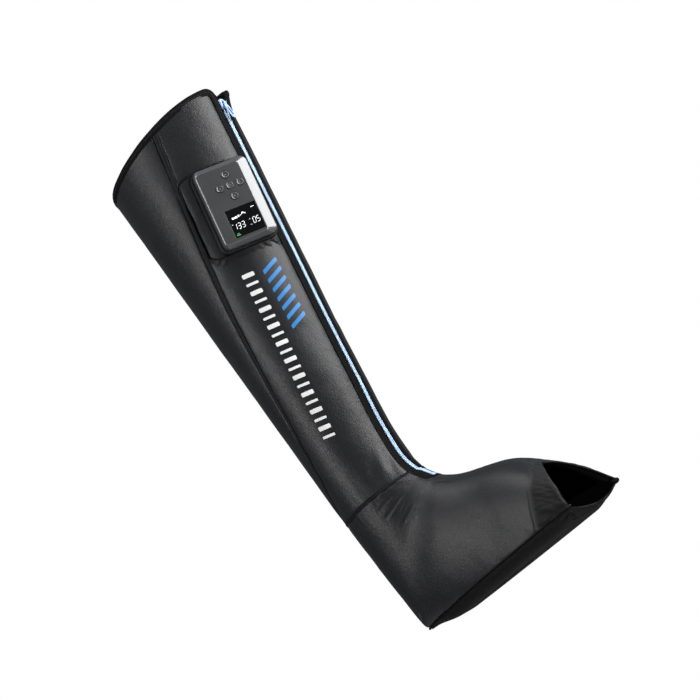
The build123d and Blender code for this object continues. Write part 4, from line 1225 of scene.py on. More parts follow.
for side, nm in SIDES:
    wv = np.concatenate([np.linspace(W_ZIP, W_ANK + 10, 70), np.linspace(W_ANK + 13, WF - 26, 190)])
    jit = 0.07 * noise3(np.stack([wv / 7.0, wv * 0 + side * 3.0, wv * 0], -1), 81) + 0.10 * noise3(np.stack([wv / 23.0, wv * 0 + side * 3.0, wv * 0], -1), 82)

    def prof(w, wv0=W_ZIP):
        k = float(smooth(w, W_ZIP - 1, W_ZIP + 16))          # the two tapes close up at the lower end
        a = 2.9 + (4.45 - 2.9) * k
        b = 9.0 + (14.15 - 9.0) * k
        m = (a + b) / 2
        return [(a, -0.1), (a + 0.12, 0.66), (a + 0.9, 1.0), (m - 1.6, 1.10), (m + 1.4, 1.02), (b - 2.1, 0.86), (b - 1.55, 0.70),
                (b - 0.95, 0.86), (b - 0.3, 0.60), (b, -0.1), (b - 0.3, -0.62), (m, -0.66), (a + 0.4, -0.62)]
    strip("front_binding_%s_tape" % nm, wv, prof, M["binding"], SH, side, ["front_binding_%s" % nm], jit)

    def tape(w):
        gap = float(6.2 * smooth(w, W_SL + 2, WF - 6))
        return [(0.35 + gap, -0.75), (0.35 + gap, -0.68), (8.2, -0.69), (11.8, -0.70), (12.0, -0.9), (11.8, -1.25), (8.2, -1.28), (0.4 + gap, -1.25)]
    wv = np.concatenate([np.linspace(W_ZIP + 1, W_ANK + 10, 60), np.linspace(W_ANK + 13, WF - 3, 150)])
    strip("zipper_tape_%s_weave" % nm, wv, tape, M["tape"], SH, side, ["zipper_tape_%s" % nm])

lines = []
for side, nm in SIDES:
    wv = np.concatenate([np.linspace(W_ZIP + 16, W_ANK + 10, 120), np.linspace(W_ANK + 10.5, WF - 40, 500)])
    for off, o in ((12.55, 0.72),):
        p = WS(wv, SH(wv) + side * off, -o)
        q = WS(wv, SH(wv) + side * off, -(o + 1.0))
        lines.append((p, q - p))
stitches("front_binding_stitches", lines, M["thread_dark"], pitch=3.0, length=2.2, rad=0.22, lift=0.02)


def coil(side, nm):
    """one row of spiral loops"""
    wv = np.concatenate([np.linspace(W_ZIP + 6, W_ANK + 8, 1200), np.linspace(W_ANK + 8.1, W_SL - 2, 2600)])
    ridge = WS(wv, SH(wv) + side * 1.4, -0.2)
    l = np.concatenate([[0], np.cumsum(np.linalg.norm(np.diff(ridge, axis=0), axis=1))])
    q = np.arange(0.4 if side > 0 else 1.15, l[-1], 1.5)
    w = np.interp(q, l, wv)
    open_ = 2.0 * smooth(w, W_SL + 5, WF)
    gap = np.where(w > W_SL + 5, open_, 0.0)
    a = WS(w, SH(w) + side * (0.10 + gap), -0.30)
    b = WS(w, SH(w) + side * (2.85 + gap), -0.30)
    c = WS(w, SH(w) + side * (1.4 + gap), -1.30)
    d = WS(w, SH(w) + side * (1.4 + gap), -0.30)
    ax = b - a
    L = np.linalg.norm(ax, axis=1, keepdims=True)
    ax = ax / L
    nn = c - d
    nn = nn - (nn * ax).sum(1, keepdims=True) * ax
    nn /= np.linalg.norm(nn, axis=1, keepdims=True)
    tt = np.cross(ax, nn)
    V, F = [], []
    prof_ = [(0.0, 0.0), (0.10, 0.60), (0.28, 0.92), (0.5, 1.0), (0.72, 0.95), (0.92, 0.70), (1.0, 0.0)]
    k = 8
    an = np.linspace(0, 2 * math.pi, k, endpoint=False)
    for i in range(len(w)):
        base = len(V)
        arch = lambda u: 0.42 * math.sin(math.pi * min(max(u, 0), 1))
        for u, r in prof_:
            cc = a[i] + ax[i] * L[i] * u + nn[i] * (arch(u) + 0.12)
            if r == 0.0:
                V.append(cc)
            else:
                for t in an:
                    V.append(cc + r * (0.56 * math.cos(t) * tt[i] + 0.52 * math.sin(t) * nn[i]))
        for j in range(k):
            F.append((base, base + 1 + (j + 1) % k, base + 1 + j))
        for rr in range(4):
            o = base + 1 + rr * k
            for j in range(k):
                F.append((o + j, o + (j + 1) % k, o + k + (j + 1) % k, o + k + j))
        o = base + 1 + 4 * k
        for j in range(k):
            F.append((o + j, o + (j + 1) % k, o + k))
    ob = make("zipper_coil_%s_loops" % nm, V, F, M["coil"])
    fix_normals(ob)
    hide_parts("zipper_coil_%s" % nm)

    def core(w_):
        g = float(2.0 * smooth(w_, W_SL + 5, WF))
        return [(0.12 + g, -0.60), (0.12 + g, 0.02), (0.5 + g, 0.30), (1.4 + g, 0.36), (2.3 + g, 0.28), (2.75 + g, -0.1), (2.75 + g, -0.62), (1.4 + g, -0.64)]
    wv = np.concatenate([np.linspace(W_ZIP + 6, W_ANK + 10, 60), np.linspace(W_ANK + 13, W_SL - 3, 150)])
    ob = strip("zipper_coil_%s_core" % nm, wv, core, M["coil"], SH, side)


coil(1, "lateral")
coil(-1, "medial")

# bottom stop: a small moulded block on the two coils, and the bar of tape that closes the slit
wv = np.linspace(W_ZIP + 1.5, W_ZIP + 8.5, 12)


def stop_prof(w):
    e = 1 - abs((w - W_ZIP - 5.0) / 3.6) ** 4
    e = max(e, 0.0) ** 0.5
    h = 0.15 + 1.25 * e
    x = 2.9 + 0.9 * e
    return [(-x, -0.5), (-x, h * 0.4), (-x + 0.5, h * 0.85), (-x * 0.45, h), (0, h + 0.08), (x * 0.45, h), (x - 0.5, h * 0.85), (x, h * 0.4), (x, -0.5), (0, -0.62)]


ob = strip("zipper_bottom_stop_block", wv, stop_prof, M["slider"], SH, 1, ["zipper_bottom_stop"])
wv = np.linspace(W_ZIP - 3.5, W_ZIP + 2.8, 14)


def tab_prof(w):
    e = max(1 - abs((w - W_ZIP + 0.35) / 3.3) ** 4, 0.0) ** 0.5
    h = 0.5 + 0.95 * e
    return [(-9.6, -0.5), (-9.6, h * 0.5), (-8.8, h * 0.9), (-4, h * 0.98), (0, h), (4, h * 0.98), (8.8, h * 0.9), (9.6, h * 0.5), (9.6, -0.5), (0, -0.6)]


ob = strip("zipper_end_tab", wv, tab_prof, M["binding"], SH, 1)

# placket behind the zipper
wv = np.concatenate([np.linspace(W_ZIP + 5, W_ANK + 10, 60), np.linspace(W_ANK + 14, WF - 26, 150)])


def placket_prof(w):
    x = S_PLACKET
    return [(-x, -2.6), (-x + 0.5, -2.1), (-x * 0.6, -1.95), (0, -1.9), (x * 0.6, -1.95), (x - 0.5, -2.1), (x, -2.6), (x, -3.8), (x - 0.6, -4.25),
            (x * 0.6, -4.4), (0, -4.45), (-x * 0.6, -4.4), (-x + 0.6, -4.25), (-x, -3.8)]


ob = strip("zipper_placket_cloth", wv, placket_prof, M["lining"], lambda w: 0.0, 1, ["zipper_placket"])

# --- slider and pull -------------------------------------------------------------------
A0 = np.array([152.3 - XO, 0.0, 403.0])
A1 = np.array([222.5 - XO, 0.0, 736.0])
ZD = (A1 - A0) / np.linalg.norm(A1 - A0)
ZN = np.array([ZD[2], 0.0, -ZD[0]])
SO = A0 + (A1 - A0) * 0.925


def zw(p):
    p = np.asarray(p, float)
    return SO + p[..., 0:1] * np.array([0.0, 1.0, 0.0]) + p[..., 1:2] * ZD + p[..., 2:3] * ZN


def loop_offset(pts, k):
    """closed loop (n,2) moved inwards by k along its normals"""
    pts = np.asarray(pts, float)
    t = np.roll(pts, -1, 0) - np.roll(pts, 1, 0)
    t /= np.linalg.norm(t, axis=1, keepdims=True) + 1e-12
    n = np.stack([-t[:, 1], t[:, 0]], 1)
    area2 = (pts[:, 0] * np.roll(pts[:, 1], -1) - np.roll(pts[:, 0], -1) * pts[:, 1]).sum()
    return pts + n * (k if area2 > 0 else -k)


def slab_rings(loop, z0, z1, bev, seg=4):
    """rings of a flat body with rounded edges; loop (n,2)"""
    out = []
    for i in range(seg + 1):
        a = math.pi / 2 * i / seg
        out.append(np.c_[loop_offset(loop, bev * (1 - math.sin(a))), np.full(len(loop), z0 + bev * (1 - math.cos(a)))])
    for i in range(seg, -1, -1):
        a = math.pi / 2 * i / seg
        out.append(np.c_[loop_offset(loop, bev * (1 - math.sin(a))), np.full(len(loop), z1 - bev * (1 - math.cos(a)))])
    return np.array(out)


def superloop(hw, hh, p=4.0, n=48, cx=0.0, cy=0.0, taper=0.0):
    a = np.linspace(0, 2 * math.pi, n, endpoint=False) + 1e-4
    x = np.sign(np.cos(a)) * np.abs(np.cos(a)) ** (2 / p) * hw
    y = np.sign(np.sin(a)) * np.abs(np.sin(a)) ** (2 / p) * hh
    x = x * (1 + taper * y / hh)
    return np.stack([x + cx, y + cy], 1)


def join(name, meshes, material, body):
    """several closed rings-lofts joined into one object; meshes = list of rings arrays"""
    V, F = [], []
    for rings in meshes:
        m, n = rings.shape[:2]
        o = len(V)
        V.extend(rings.reshape(-1, 3).tolist())
        for i in range(m - 1):
            for j in range(n):
                F.append((o + i * n + j, o + i * n + (j + 1) % n, o + (i + 1) * n + (j + 1) % n, o + (i + 1) * n + j))
        F.append(tuple(o + j for j in reversed(range(n))))
        F.append(tuple(o + (m - 1) * n + j for j in range(n)))
    ob = make(name, V, F, material, body)
    fix_normals(ob)
    return autosmooth(ob, 50)


meshes = [zw(slab_rings(superloop(4.15, 7.0, 3.6, taper=0.10), 1.35, 2.75, 0.55))]
for sx in (-1, 1):
    fl = superloop(0.72, 6.7, 4.0, 40, cx=sx * 3.85)
    meshes.append(zw(slab_rings(fl, 0.25, 1.75, 0.3, 3)))
# bridge that holds the pull: an arch over the plate
yy = np.linspace(-2.6, 4.4, 15)
ar = []
for y in yy:
    u = (y + 2.6) / 7.0
    h = 2.45 + 3.35 * math.sin(math.pi * u) ** 0.55
    ar.append((y, h))
ar = np.array(ar)
tn = np.gradient(ar, axis=0)
tn /= np.linalg.norm(tn, axis=1, keepdims=True)
rings = []
an = np.linspace(0, 2 * math.pi, 14, endpoint=False)
for (y, h), (ty, th) in zip(ar, tn):
    nx = np.sign(np.cos(an)) * np.abs(np.cos(an)) ** 0.6 * 1.25
    nn_ = np.sign(np.sin(an)) * np.abs(np.sin(an)) ** 0.6 * 0.42
    rings.append(np.stack([nx, y - th * nn_, h + ty * nn_], 1))
meshes.append(zw(np.array(rings)))
ob = join("zipper_slider_body", meshes, M["slider"], "slider")
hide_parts("zipper_slider")

HINGE = SO + ZN * 4.6 + ZD * 1.0


def pullw(p):
    """pull's own frame: x across, y along the pull (down is negative), z outwards; it hangs straight down"""
    p = np.asarray(p, float)
    return HINGE + p[..., 0:1] * np.array([0.0, 1.0, 0.0]) + p[..., 1:2] * ZZ + p[..., 2:3] * np.array([1.0, 0.0, 0.0])


def ring_plate(outer, inner, z0, z1, bev):
    """flat ring with rounded edges, as one closed band of rings round its section"""
    sec = []
    for k_, z in ((bev, z0), (bev * 0.3, z0 + bev * 0.3), (0, z0 + bev), (0, z1 - bev), (bev * 0.3, z1 - bev * 0.3), (bev, z1)):
        sec.append(np.c_[loop_offset(outer, k_), np.full(len(outer), z)])
    for k_, z in ((-bev, z1), (-bev * 0.3, z1 - bev * 0.3), (0, z1 - bev), (0, z0 + bev), (-bev * 0.3, z0 + bev * 0.3), (-bev, z0)):
        sec.append(np.c_[loop_offset(inner, k_), np.full(len(inner), z)])
    return np.array(sec)


def closed_band(rings):
    m, n = rings.shape[:2]
    V = rings.reshape(-1, 3)
    F = [(i * n + j, i * n + (j + 1) % n, ((i + 1) % m) * n + (j + 1) % n, ((i + 1) % m) * n + j) for i in range(m) for j in range(n)]
    return V, F


outer = superloop(3.7, 11.4, 4.5, 64, cy=-14.6)
inner = superloop(1.9, 6.8, 4.0, 64, cy=-15.0)
V, F = closed_band(pullw(ring_plate(outer, inner, -0.8, 0.8, 0.32)))
V = V.tolist()
neck = pullw(slab_rings(superloop(1.75, 2.3, 4.0, 32, cy=-2.4), -0.72, 0.72, 0.3))
# eye round the pin, a short sleeve across
eye = []
an = np.linspace(0, 2 * math.pi, 22, endpoint=False)
sec = [(-1.7, 0.9), (-1.7, 1.35), (-1.45, 1.62), (1.45, 1.62), (1.7, 1.35), (1.7, 0.9)]
er = np.array([[(x, r * math.cos(a), r * math.sin(a)) for a in an] for x, r in sec])
for rings, capit in ((neck, True), (pullw(er), False)):
    m, n = rings.shape[:2]
    o = len(V)
    V.extend(rings.reshape(-1, 3).tolist())
    for i in range(m - 1 if capit else m):
        for j in range(n):
            k = (i + 1) % m
            F.append((o + i * n + j, o + i * n + (j + 1) % n, o + k * n + (j + 1) % n, o + k * n + j))
    if capit:
        F.append(tuple(o + j for j in reversed(range(n))))
        F.append(tuple(o + (m - 1) * n + j for j in range(n)))
ob = make("zipper_pull_tab", V, F, M["slider"], "pull")
fix_normals(ob)
autosmooth(ob, 50)
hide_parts("zipper_pull")

# --- rim: one padded tape folded over the edge, round both front corners ------------------


def rim_tape():
    pts = []                    # w, s, side, dw, ds, depth of the fold
    th = np.radians(np.linspace(180, 90, 17))[1:]

    def dep(s, w):
        return 2.9 + 6.9 * float(smooth(s, 12, 34))
    side_pts = {}
    for side in (1, -1):
        rc = R_C if side > 0 else R_C2
        P_ = [(w, S_B0, 0.0, -1.0, 2.4) for w in np.linspace(WF - 46, WF - rc, 26)]
        for a in th:
            s, w = S_B0 + rc + rc * math.cos(a), WF - rc + rc * math.sin(a)
            P_.append((w, s, math.sin(a), math.cos(a), dep(s, w)))
        wr = WF
        for s in np.linspace(S_B0 + rc + 2.5, 400, 190):
            for _ in range(3):
                t = float(t_of_s(wr, min(s, float(half_len(wr)))))
                wr = float(rim_w_at_tau(np.array([t if side > 0 else 2 * math.pi - t]))[0])
            if s > float(half_len(wr)) - 1.0:
                break
            P_.append((wr, s, 1.0, 0.0, dep(s, wr)))
        side_pts[side] = P_
    tb = float(rim_w_at_tau(np.array([math.pi]))[0])
    back = [(tb, float(half_len(tb)), 1.0, 0.0, 9.8)]
    seq = [(p, 1) for p in side_pts[1]] + [(b, 1) for b in back] + [(p, -1) for p in reversed(side_pts[-1])]
    rings, uvs, run, last = [], [], 0.0, None
    for (w, s, dw, ds, D), side in seq:
        leg = 8.6 if dw > 0.5 else 8.6 - 0.0
        sec = [(-leg, 0.10), (-leg + 0.35, 0.80), (-7.2, 1.02), (-6.3, 0.84), (-5.3, 1.14), (-3.8, 1.32), (-2.2, 1.20), (-0.2, 1.12), (1.2, 0.55), (1.95, -0.7),
               (2.15, -D * 0.35), (2.15, -D * 0.65), (1.9, -D + 0.6), (1.1, -D - 0.5), (-0.4, -D - 0.95), (-5.0, -D - 1.0), (-leg + 0.35, -D - 0.75),
               (-leg, -D - 0.1), (-leg + 0.5, -D + 0.35), (-1.8, -D + 0.45), (-0.9, -D + 0.9), (-0.9, -1.5), (-1.8, -0.55), (-leg + 0.5, -0.35)]
        sec = np.array(sec)
        n1 = 0.10 * float(noise3(np.array([[run / 9.0, 0, 0]]), 91)[0])
        o = sec[:, 1] + n1 * (sec[:, 1] > 0)
        ww = w + sec[:, 0] * dw
        ss = s + sec[:, 0] * ds
        ss = np.minimum(ss, half_len(ww))
        g = WS(ww, side * ss, -o) if s < float(half_len(w)) - 0.5 else PT(ww, np.full(len(ww), math.pi), -o)
        rings.append(g)
        if last is not None:
            run += float(np.linalg.norm(g[7] - last))
        last = g[7]
        uvs.append(np.stack([sec[:, 0] * MM, np.full(len(sec), run * MM)], -1))
    ob = loft("top_binding_tape", np.array(rings), M["binding"], uv=np.array(uvs))
    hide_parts("top_binding")
    R = np.array(rings)
    line = [(R[2:-2, 5], (R[2:-2, 5] - R[2:-2, 15]))]
    stitches("top_binding_stitches", line, M["thread"], pitch=3.2, length=2.5, rad=0.26, lift=0.0)
    return R


RIM_RINGS = rim_tape()

# --- linings ---------------------------------------------------------------------------


def leg_lining():
    n, m = 150, 120
    q = np.linspace(0, 1, n)
    w_top = np.full(n, WF)
    for _ in range(4):
        L = 2 * half_len(w_top)
        s = S_LINE + (L - 2 * S_LINE) * q
        tau = tau_of_s(w_top, s)
        w_top = rim_w_at_tau(tau) - 1.4
    wg = w_grid(np.full(n, W_ANK + 0.2), w_top, m)
    L = 2 * half_len(wg)
    sg = S_LINE + (L - 2 * S_LINE) * q[None, :]
    taug = tau_of_s(wg, sg)
    base = PT(wg, taug, D_LI)
    nrm = edge_normals(base, base - centre_line(wg))
    edge = np.minimum(q, 1 - q)[None, :] * L
    rel = soft_relief(base, 15, 0.5, (45, 45, 60)) - 0.9 * (1 - np.exp(-edge / 12.0))
    # welded lines of the chambers press the lining into soft channels
    for vv in (16.0, 17.65):
        rel = rel + 0.9 * gauss(wg - float(W_of_v(vv)), 3.0)
    o = base + nrm * 0.0
    i = base - nrm * (1.15 - rel)[..., None]
    ob = shell("leg_lining_cloth", o, i, M["lining"], uv=np.stack([sg, wg], -1) * MM)
    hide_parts("leg_lining")


D_LI = 8.62
leg_lining()


def foot_lining(lat):
    NRF, NCF = 110, 56
    w0, w1 = float(W_of_v(-0.05)), W_ANK - 0.6
    wv = w0 + (w1 - w0) * np.linspace(0, 1, NRF)
    edge = 0.3 + (S_LINE - 0.3) * smooth(wv, W_ZIP - 1.0, W_ZIP + 9.0)
    hl = s_of_t(wv, np.full(len(wv), math.pi * 0.978))
    q = np.linspace(0, 1, NCF)
    sg = edge[:, None] + (hl - edge)[:, None] * q[None, :]
    wg = np.repeat(wv[:, None], NCF, 1)
    k_ = wg - w0
    wg = wg - EXT(q[None, :] + 0 * wg, lat) * (1 - smooth(k_, 0.0, 42.0))
    tg = t_of_s(wg, sg)
    taug = tg if lat else 2 * math.pi - tg
    dgrid = 2.3 + (D_LI - 2.3) * smooth(k_, 0.6, 12.6)       # it is sewn to the outer fabric at the toe opening
    base = PT(wg, taug, dgrid)
    nrm = edge_normals(base, base - centre_line(wg))
    inst = sg - edge[:, None]
    rel = soft_relief(base, 16 if lat else 17, 0.4, (40, 40, 40)) - 0.8 * (1 - np.exp(-inst / 9.0))
    o, i = base, base - nrm * (1.15 - rel)[..., None]
    for g in (o, i):
        g[..., 1] = np.minimum(g[..., 1], -0.05) if lat else np.maximum(g[..., 1], 0.05)
    nm = "foot_lining_%s" % ("lateral" if lat else "medial")
    ob = shell(nm + "_cloth", o, i, M["lining"], uv=np.stack([sg, wg], -1) * MM)
    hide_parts(nm)


foot_lining(True)
foot_lining(False)
# [/a]

# [b]
# --- wall point under (x, y) of the unit's frame -----------------------------------------


def wall_under(x, y):
    x, y = np.broadcast_arrays(np.asarray(x, float), np.asarray(y, float))
    v = np.full(x.shape, 19.2)
    t = np.full(x.shape, 0.7)

    def f(vv, tt):
        q = world_to_unit(PT(W_of_v(vv), tt, 0.0))
        return q[..., 0] - x, q[..., 1] - y, q[..., 2]
    for _ in range(14):
        a, b, z = f(v, t)
        a1, b1, _z = f(v + 1e-3, t)
        a2, b2, _z = f(v, t + 1e-3)
        a11, a21, a12, a22 = (a1 - a) / 1e-3, (b1 - b) / 1e-3, (a2 - a) / 1e-3, (b2 - b) / 1e-3
        det = a11 * a22 - a12 * a21
        v = np.clip(v - (a * a22 - b * a12) / det, 16.5, 21.9)
        t = np.clip(t - (a11 * b - a21 * a) / det, 0.02, 2.2)
    a, b, z = f(v, t)
    return z, v, t


def rr_loop(w, h, r, cx=0.0, cy=0.0, nc=14, ns=12):
    """closed loop round a rounded rectangle with a fixed count per side and corner, anticlockwise"""
    x, y = w / 2, h / 2
    pts = []
    ends = [((x - r, -y + r), -90), ((x - r, y - r), 0), ((-x + r, y - r), 90), ((-x + r, -y + r), 180)]
    for k, ((ax, ay), a0) in enumerate(ends):
        for i in range(nc):
            a = math.radians(a0 + 90.0 * i / nc)
            pts.append((ax + r * math.cos(a), ay + r * math.sin(a)))
        (bx, by), b0 = ends[(k + 1) % 4]
        p0 = (ax + r * math.cos(math.radians(a0 + 90)), ay + r * math.sin(math.radians(a0 + 90)))
        p1 = (bx + r * math.cos(math.radians(b0)), by + r * math.sin(math.radians(b0)))
        for i in range(ns):
            f = i / ns
            pts.append((p0[0] + (p1[0] - p0[0]) * f, p0[1] + (p1[1] - p0[1]) * f))
    return np.array(pts) + np.array([cx, cy])


def section_loft(name, levels, material, body, angle=40, sm=True):
    """closed solid whose section is the closed list of loops in levels, unit frame (x, y, z)"""
    R = unit_to_world(np.array(levels))
    V, F = closed_band(R)
    ob = make(name, V, F, material, body)
    fix_normals(ob)
    if sm:
        autosmooth(ob, angle)
    return ob


# --- padded pocket frame ------------------------------------------------------------------
CW, CHH = 74.7, 110.7
PF_IN = rr_loop(CW + 4.4, CHH + 4.4, 11.55, nc=16, ns=34)
PF_OUT = rr_loop(CW + 4.2 + 22.0, CHH + 4.2 + 24.0, 18.35, -5.0, -1.0, nc=16, ns=34)


def pocket():
    # stay clear of the tape along the zipper: the right edge is pulled in
    PO = PF_OUT.copy()
    zz, vv, tt = wall_under(np.full(61, 0.0) + 41.4, np.linspace(-75, 75, 61))
    lim = np.array([])
    ys = np.linspace(-75, 75, 61)
    xs = []
    for y in ys:
        x = np.linspace(30, 48, 37)
        z_, v_, t_ = wall_under(x, np.full(37, y))
        s_ = s_of_t(W_of_v(v_), t_)
        xs.append(float(np.interp(-(S_B1 + 1.1), -s_, x)))
    xlim = np.interp(PO[:, 1], ys, xs)
    PO[:, 0] = np.minimum(PO[:, 0], np.minimum(xlim, 41.4))
    PI = PF_IN.copy()
    PI[:, 0] = np.minimum(PI[:, 0], PO[:, 0] - 0.4 + 0 * PI[:, 0])
    n = len(PI)
    m = 22
    r = np.linspace(0, 1, m)
    XY = PI[:, None, :] * (1 - r)[None, :, None] + PO[:, None, :] * r[None, :, None]
    z, v, t = wall_under(XY[..., 0], XY[..., 1])
    wdt = np.linalg.norm(PO - PI, axis=1)[:, None]
    arc = np.concatenate([[0], np.cumsum(np.linalg.norm(np.diff(PO, axis=0), axis=1))])[:, None]
    x, y = XY[..., 0], XY[..., 1]
    left = smooth(-x, 30, 46)
    top = smooth(y, 50, 62) * (1 - left)
    bot = smooth(-y, 50, 62) * (1 - left)
    rise = 3.6 * left + 1.6 * top + 2.9 * bot + 2.0 * np.clip(1 - left - top - bot, 0, 1)
    vis = 0.22 + 0.78 * smooth(-y, -40, 4)                   # at the top the pad melts into the cloth
    rise = rise * vis
    rr = r[None, :]
    roll = (1 - rr ** 2.3) ** 0.62                              # roll with a definite seam
    easy = 0.5 + 0.5 * np.cos(math.pi * rr ** 0.85)             # gentle slope
    f = roll * (0.25 + 0.75 * np.clip(left + 0.8 * bot, 0, 1)) + easy * (1 - (0.25 + 0.75 * np.clip(left + 0.8 * bot, 0, 1)))
    crest = np.minimum(z[:, :1] + rise[:, :1], 4.4)          # height at the mouth, following the leg
    flow = z + (crest - z) * np.exp(-(rr * wdt / 4.6) ** 2) * 0.55
    zz = flow + 0.35 + 0.45 * rise * f
    lip = 1 - np.exp(-(rr * wdt) / 1.1)
    zz = zz - 0.9 * (1 - lip)
    q = np.stack([x / 13.0, y / 13.0, x * 0], -1)
    body_ = np.sin(math.pi * np.clip(rr, 0, 1)) ** 0.7 + 0 * x
    zz = zz + 0.55 * noise3(q, 101) * body_ + 0.3 * noise3(q * 2.3, 102) * body_
    # pleats round the lower left corner and folds under the lower right corner
    ang = np.arctan2(y + 45, x + 32)
    pl = gauss(np.hypot(x + 44, y + 58) , 16.0)
    zz = zz + pl * 0.75 * np.sin(ang * 15.0) * body_
    fr_ = gauss(np.hypot(x - 26, (y + 63) * 1.2), 15.0)
    zz = zz + fr_ * 1.1 * np.sin((x * 0.55 + y * 0.35)) * body_
    # sewn line near the outer edge
    zz = zz - 0.55 * gauss((1 - rr) * wdt - 2.6, 0.8) * np.clip(left + bot + 0.3, 0, 1) * vis
    top_pts = np.stack([x, y, zz], -1)
    under = np.stack([x, y, np.minimum(z - 0.15, zz - 0.5)], -1)[:, ::-1]
    zi = np.minimum(z[:, 0], -1.0)
    wall_ = np.stack([np.stack([PI[:, 0], PI[:, 1], zi * (1 - k) + (zz[:, 0] - 0.3) * k], -1) for k in (0.15, 0.5, 0.85)], 1)
    sec = np.concatenate([top_pts, under, wall_], 1)             # n x (2m+3) x 3
    V, F = closed_band(unit_to_world(sec))
    uvl = np.concatenate([np.stack([x, y], -1), np.stack([x, y], -1)[:, ::-1], np.repeat(PI[:, None, :], 3, 1)], 1)
    ob = make("pocket_frame_pad", V, F, M["pocket"], "boot", uv=uvl.reshape(-1, 2) * MM)
    fix_normals(ob)
    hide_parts("pocket_frame")
    # stitches on the roll, and a cord round the mouth
    L1 = unit_to_world(top_pts[:, -4])
    up = np.tile(UN, (n, 1))
    keep = (PO[:, 0] < 36) & (PF_OUT[:, 0] < 41) & (PO[:, 1] < 40)
    k0 = np.where(~keep)[0]
    lines = []
    start = (k0[-1] + 1) % n if len(k0) else 0
    order = [(start + i) % n for i in range(n) if keep[(start + i) % n]]
    lines.append((L1[order], up[order]))
    stitches("pocket_edge_stitches", lines, M["thread"], pitch=3.2, length=2.4, rad=0.26, lift=0.12)
    wel = top_pts[:, 0].copy()
    wel[:, 2] += 0.1
    ring_ = unit_to_world(wel)
    ob = tube("pocket_mouth_cord", ring_, 0.75, M["binding"], n=10, closed_path=True, up=up)


pocket()

# --- unit: bezel and face plate ---------------------------------------------------------------
UW, UH, U_R = 74.0, 110.0, 9.0
CHL, CHR, CHT, CHB = 1.0, 13.7, 6.4, 5.5
FW, FH = UW - CHL - CHR, UH - CHT - CHB
FX, FY = (CHL - CHR) / 2, (CHB - CHT) / 2


def left_in(p, d):
    """pulls the left edge inwards: it is rolled over, the other edges are not"""
    p = np.array(p, float)
    p[:, 0] += d * smooth(-p[:, 0], 30.0, 35.4)
    return p


def lerp_loop(k, z, inset_=0.0):
    """outline between the full case (0) and the face (1)"""
    a = rr_loop(UW, UH, U_R, nc=18, ns=26)
    b = rr_loop(FW, FH, 4.4, FX, FY, nc=18, ns=26)
    p = a * (1 - k) + b * k
    if inset_:
        p = loop_offset(p, inset_)
    return np.c_[p, np.full(len(p), z)]


def bezel():
    lv = [lerp_loop(0, 7.02, 0.35), lerp_loop(0, 7.15, 0.10), lerp_loop(0, 7.5), lerp_loop(0, 10.0), lerp_loop(0, 12.7), lerp_loop(0, 13.5, 0.08)]
    # soft shoulder into the chamfer, each side in its own slope
    for k, z in ((0.02, 14.05), (0.07, 14.5), (0.14, 15.0), (0.30, 16.02), (0.50, 17.22), (0.70, 18.40), (0.84, 19.20), (0.92, 19.60), (0.97, 19.82), (1.0, 19.93)):
        lv.append(left_in(lerp_loop(k, z), 1.30 * min(1.0, max(0.0, (z - 18.55) / 1.38)) - k))
    lv += [left_in(lerp_loop(1.0, 19.97, 0.35), 0.3), left_in(lerp_loop(1.0, 19.90, 0.55), 0.3), left_in(lerp_loop(1.0, 18.45, 0.60), 0.3)]
    lv += [lerp_loop(1.0, 18.35, 2.2), lerp_loop(0.6, 16.0, 1.8), lerp_loop(0.0, 13.0, 1.8), lerp_loop(0.0, 7.3, 1.8), lerp_loop(0, 7.05, 1.5)]
    ob = section_loft("unit_bezel_shell", lv, M["gloss"], "control_unit", angle=70)
    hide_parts("unit_bezel")


bezel()


def plate(name, outer, holes, material, body, angle=40):
    """flat plate from rings; outer and each hole are lists of (n,3) rings from the top to the bottom, unit frame"""
    V, F = [], []

    def add(r):
        o = len(V)
        V.extend(r.tolist())
        return list(range(o, o + len(r)))
    idx_top, idx_bot = [], []
    for rings in [outer] + holes:
        ids = [add(np.asarray(r)) for r in rings]
        idx_top.append(ids[0])
        idx_bot.append(ids[-1])
        n = len(ids[0])
        for a, b in zip(ids, ids[1:]):
            for j in range(n):
                F.append((a[j], a[(j + 1) % n], b[(j + 1) % n], b[j]))
    Vn = np.array(V)
    for loops in (idx_top, idx_bot):
        flat = [i for lp in loops for i in lp]
        pos = {i: k for k, i in enumerate(flat)}
        pts = [Vector((Vn[i][0], Vn[i][1])) for i in flat]
        edges = [(pos[lp[j]], pos[lp[(j + 1) % len(lp)]]) for lp in loops for j in range(len(lp))]
        res = delaunay_2d_cdt(pts, edges, [], 1, 1e-5)
        vs, _e, fs = res[0], res[1], res[2]
        orig = res[3]
        back = [o[0] if o else None for o in orig]

        def inside(pt, lp):
            c = False
            q = Vn[lp][:, :2]
            j = len(q) - 1
            for i in range(len(q)):
                if (q[i][1] > pt[1]) != (q[j][1] > pt[1]) and pt[0] < (q[j][0] - q[i][0]) * (pt[1] - q[i][1]) / (q[j][1] - q[i][1]) + q[i][0]:
                    c = not c
                j = i
            return c
        for tri in fs:
            if any(back[k] is None for k in tri):
                raise RuntimeError("plate rings cross")
            ii = [flat[back[k]] for k in tri]
            c = Vn[ii].mean(0)
            if not inside(c, loops[0]) or any(inside(c, lp) for lp in loops[1:]):
                continue
            F.append(tuple(ii))
    ob = make(name, unit_to_world(Vn), F, material, body)
    fix_normals(ob)
    autosmooth(ob, angle)
    for pl in ob.data.polygons:
        if len(pl.vertices) == 3:
            pl.use_smooth = False
    return ob


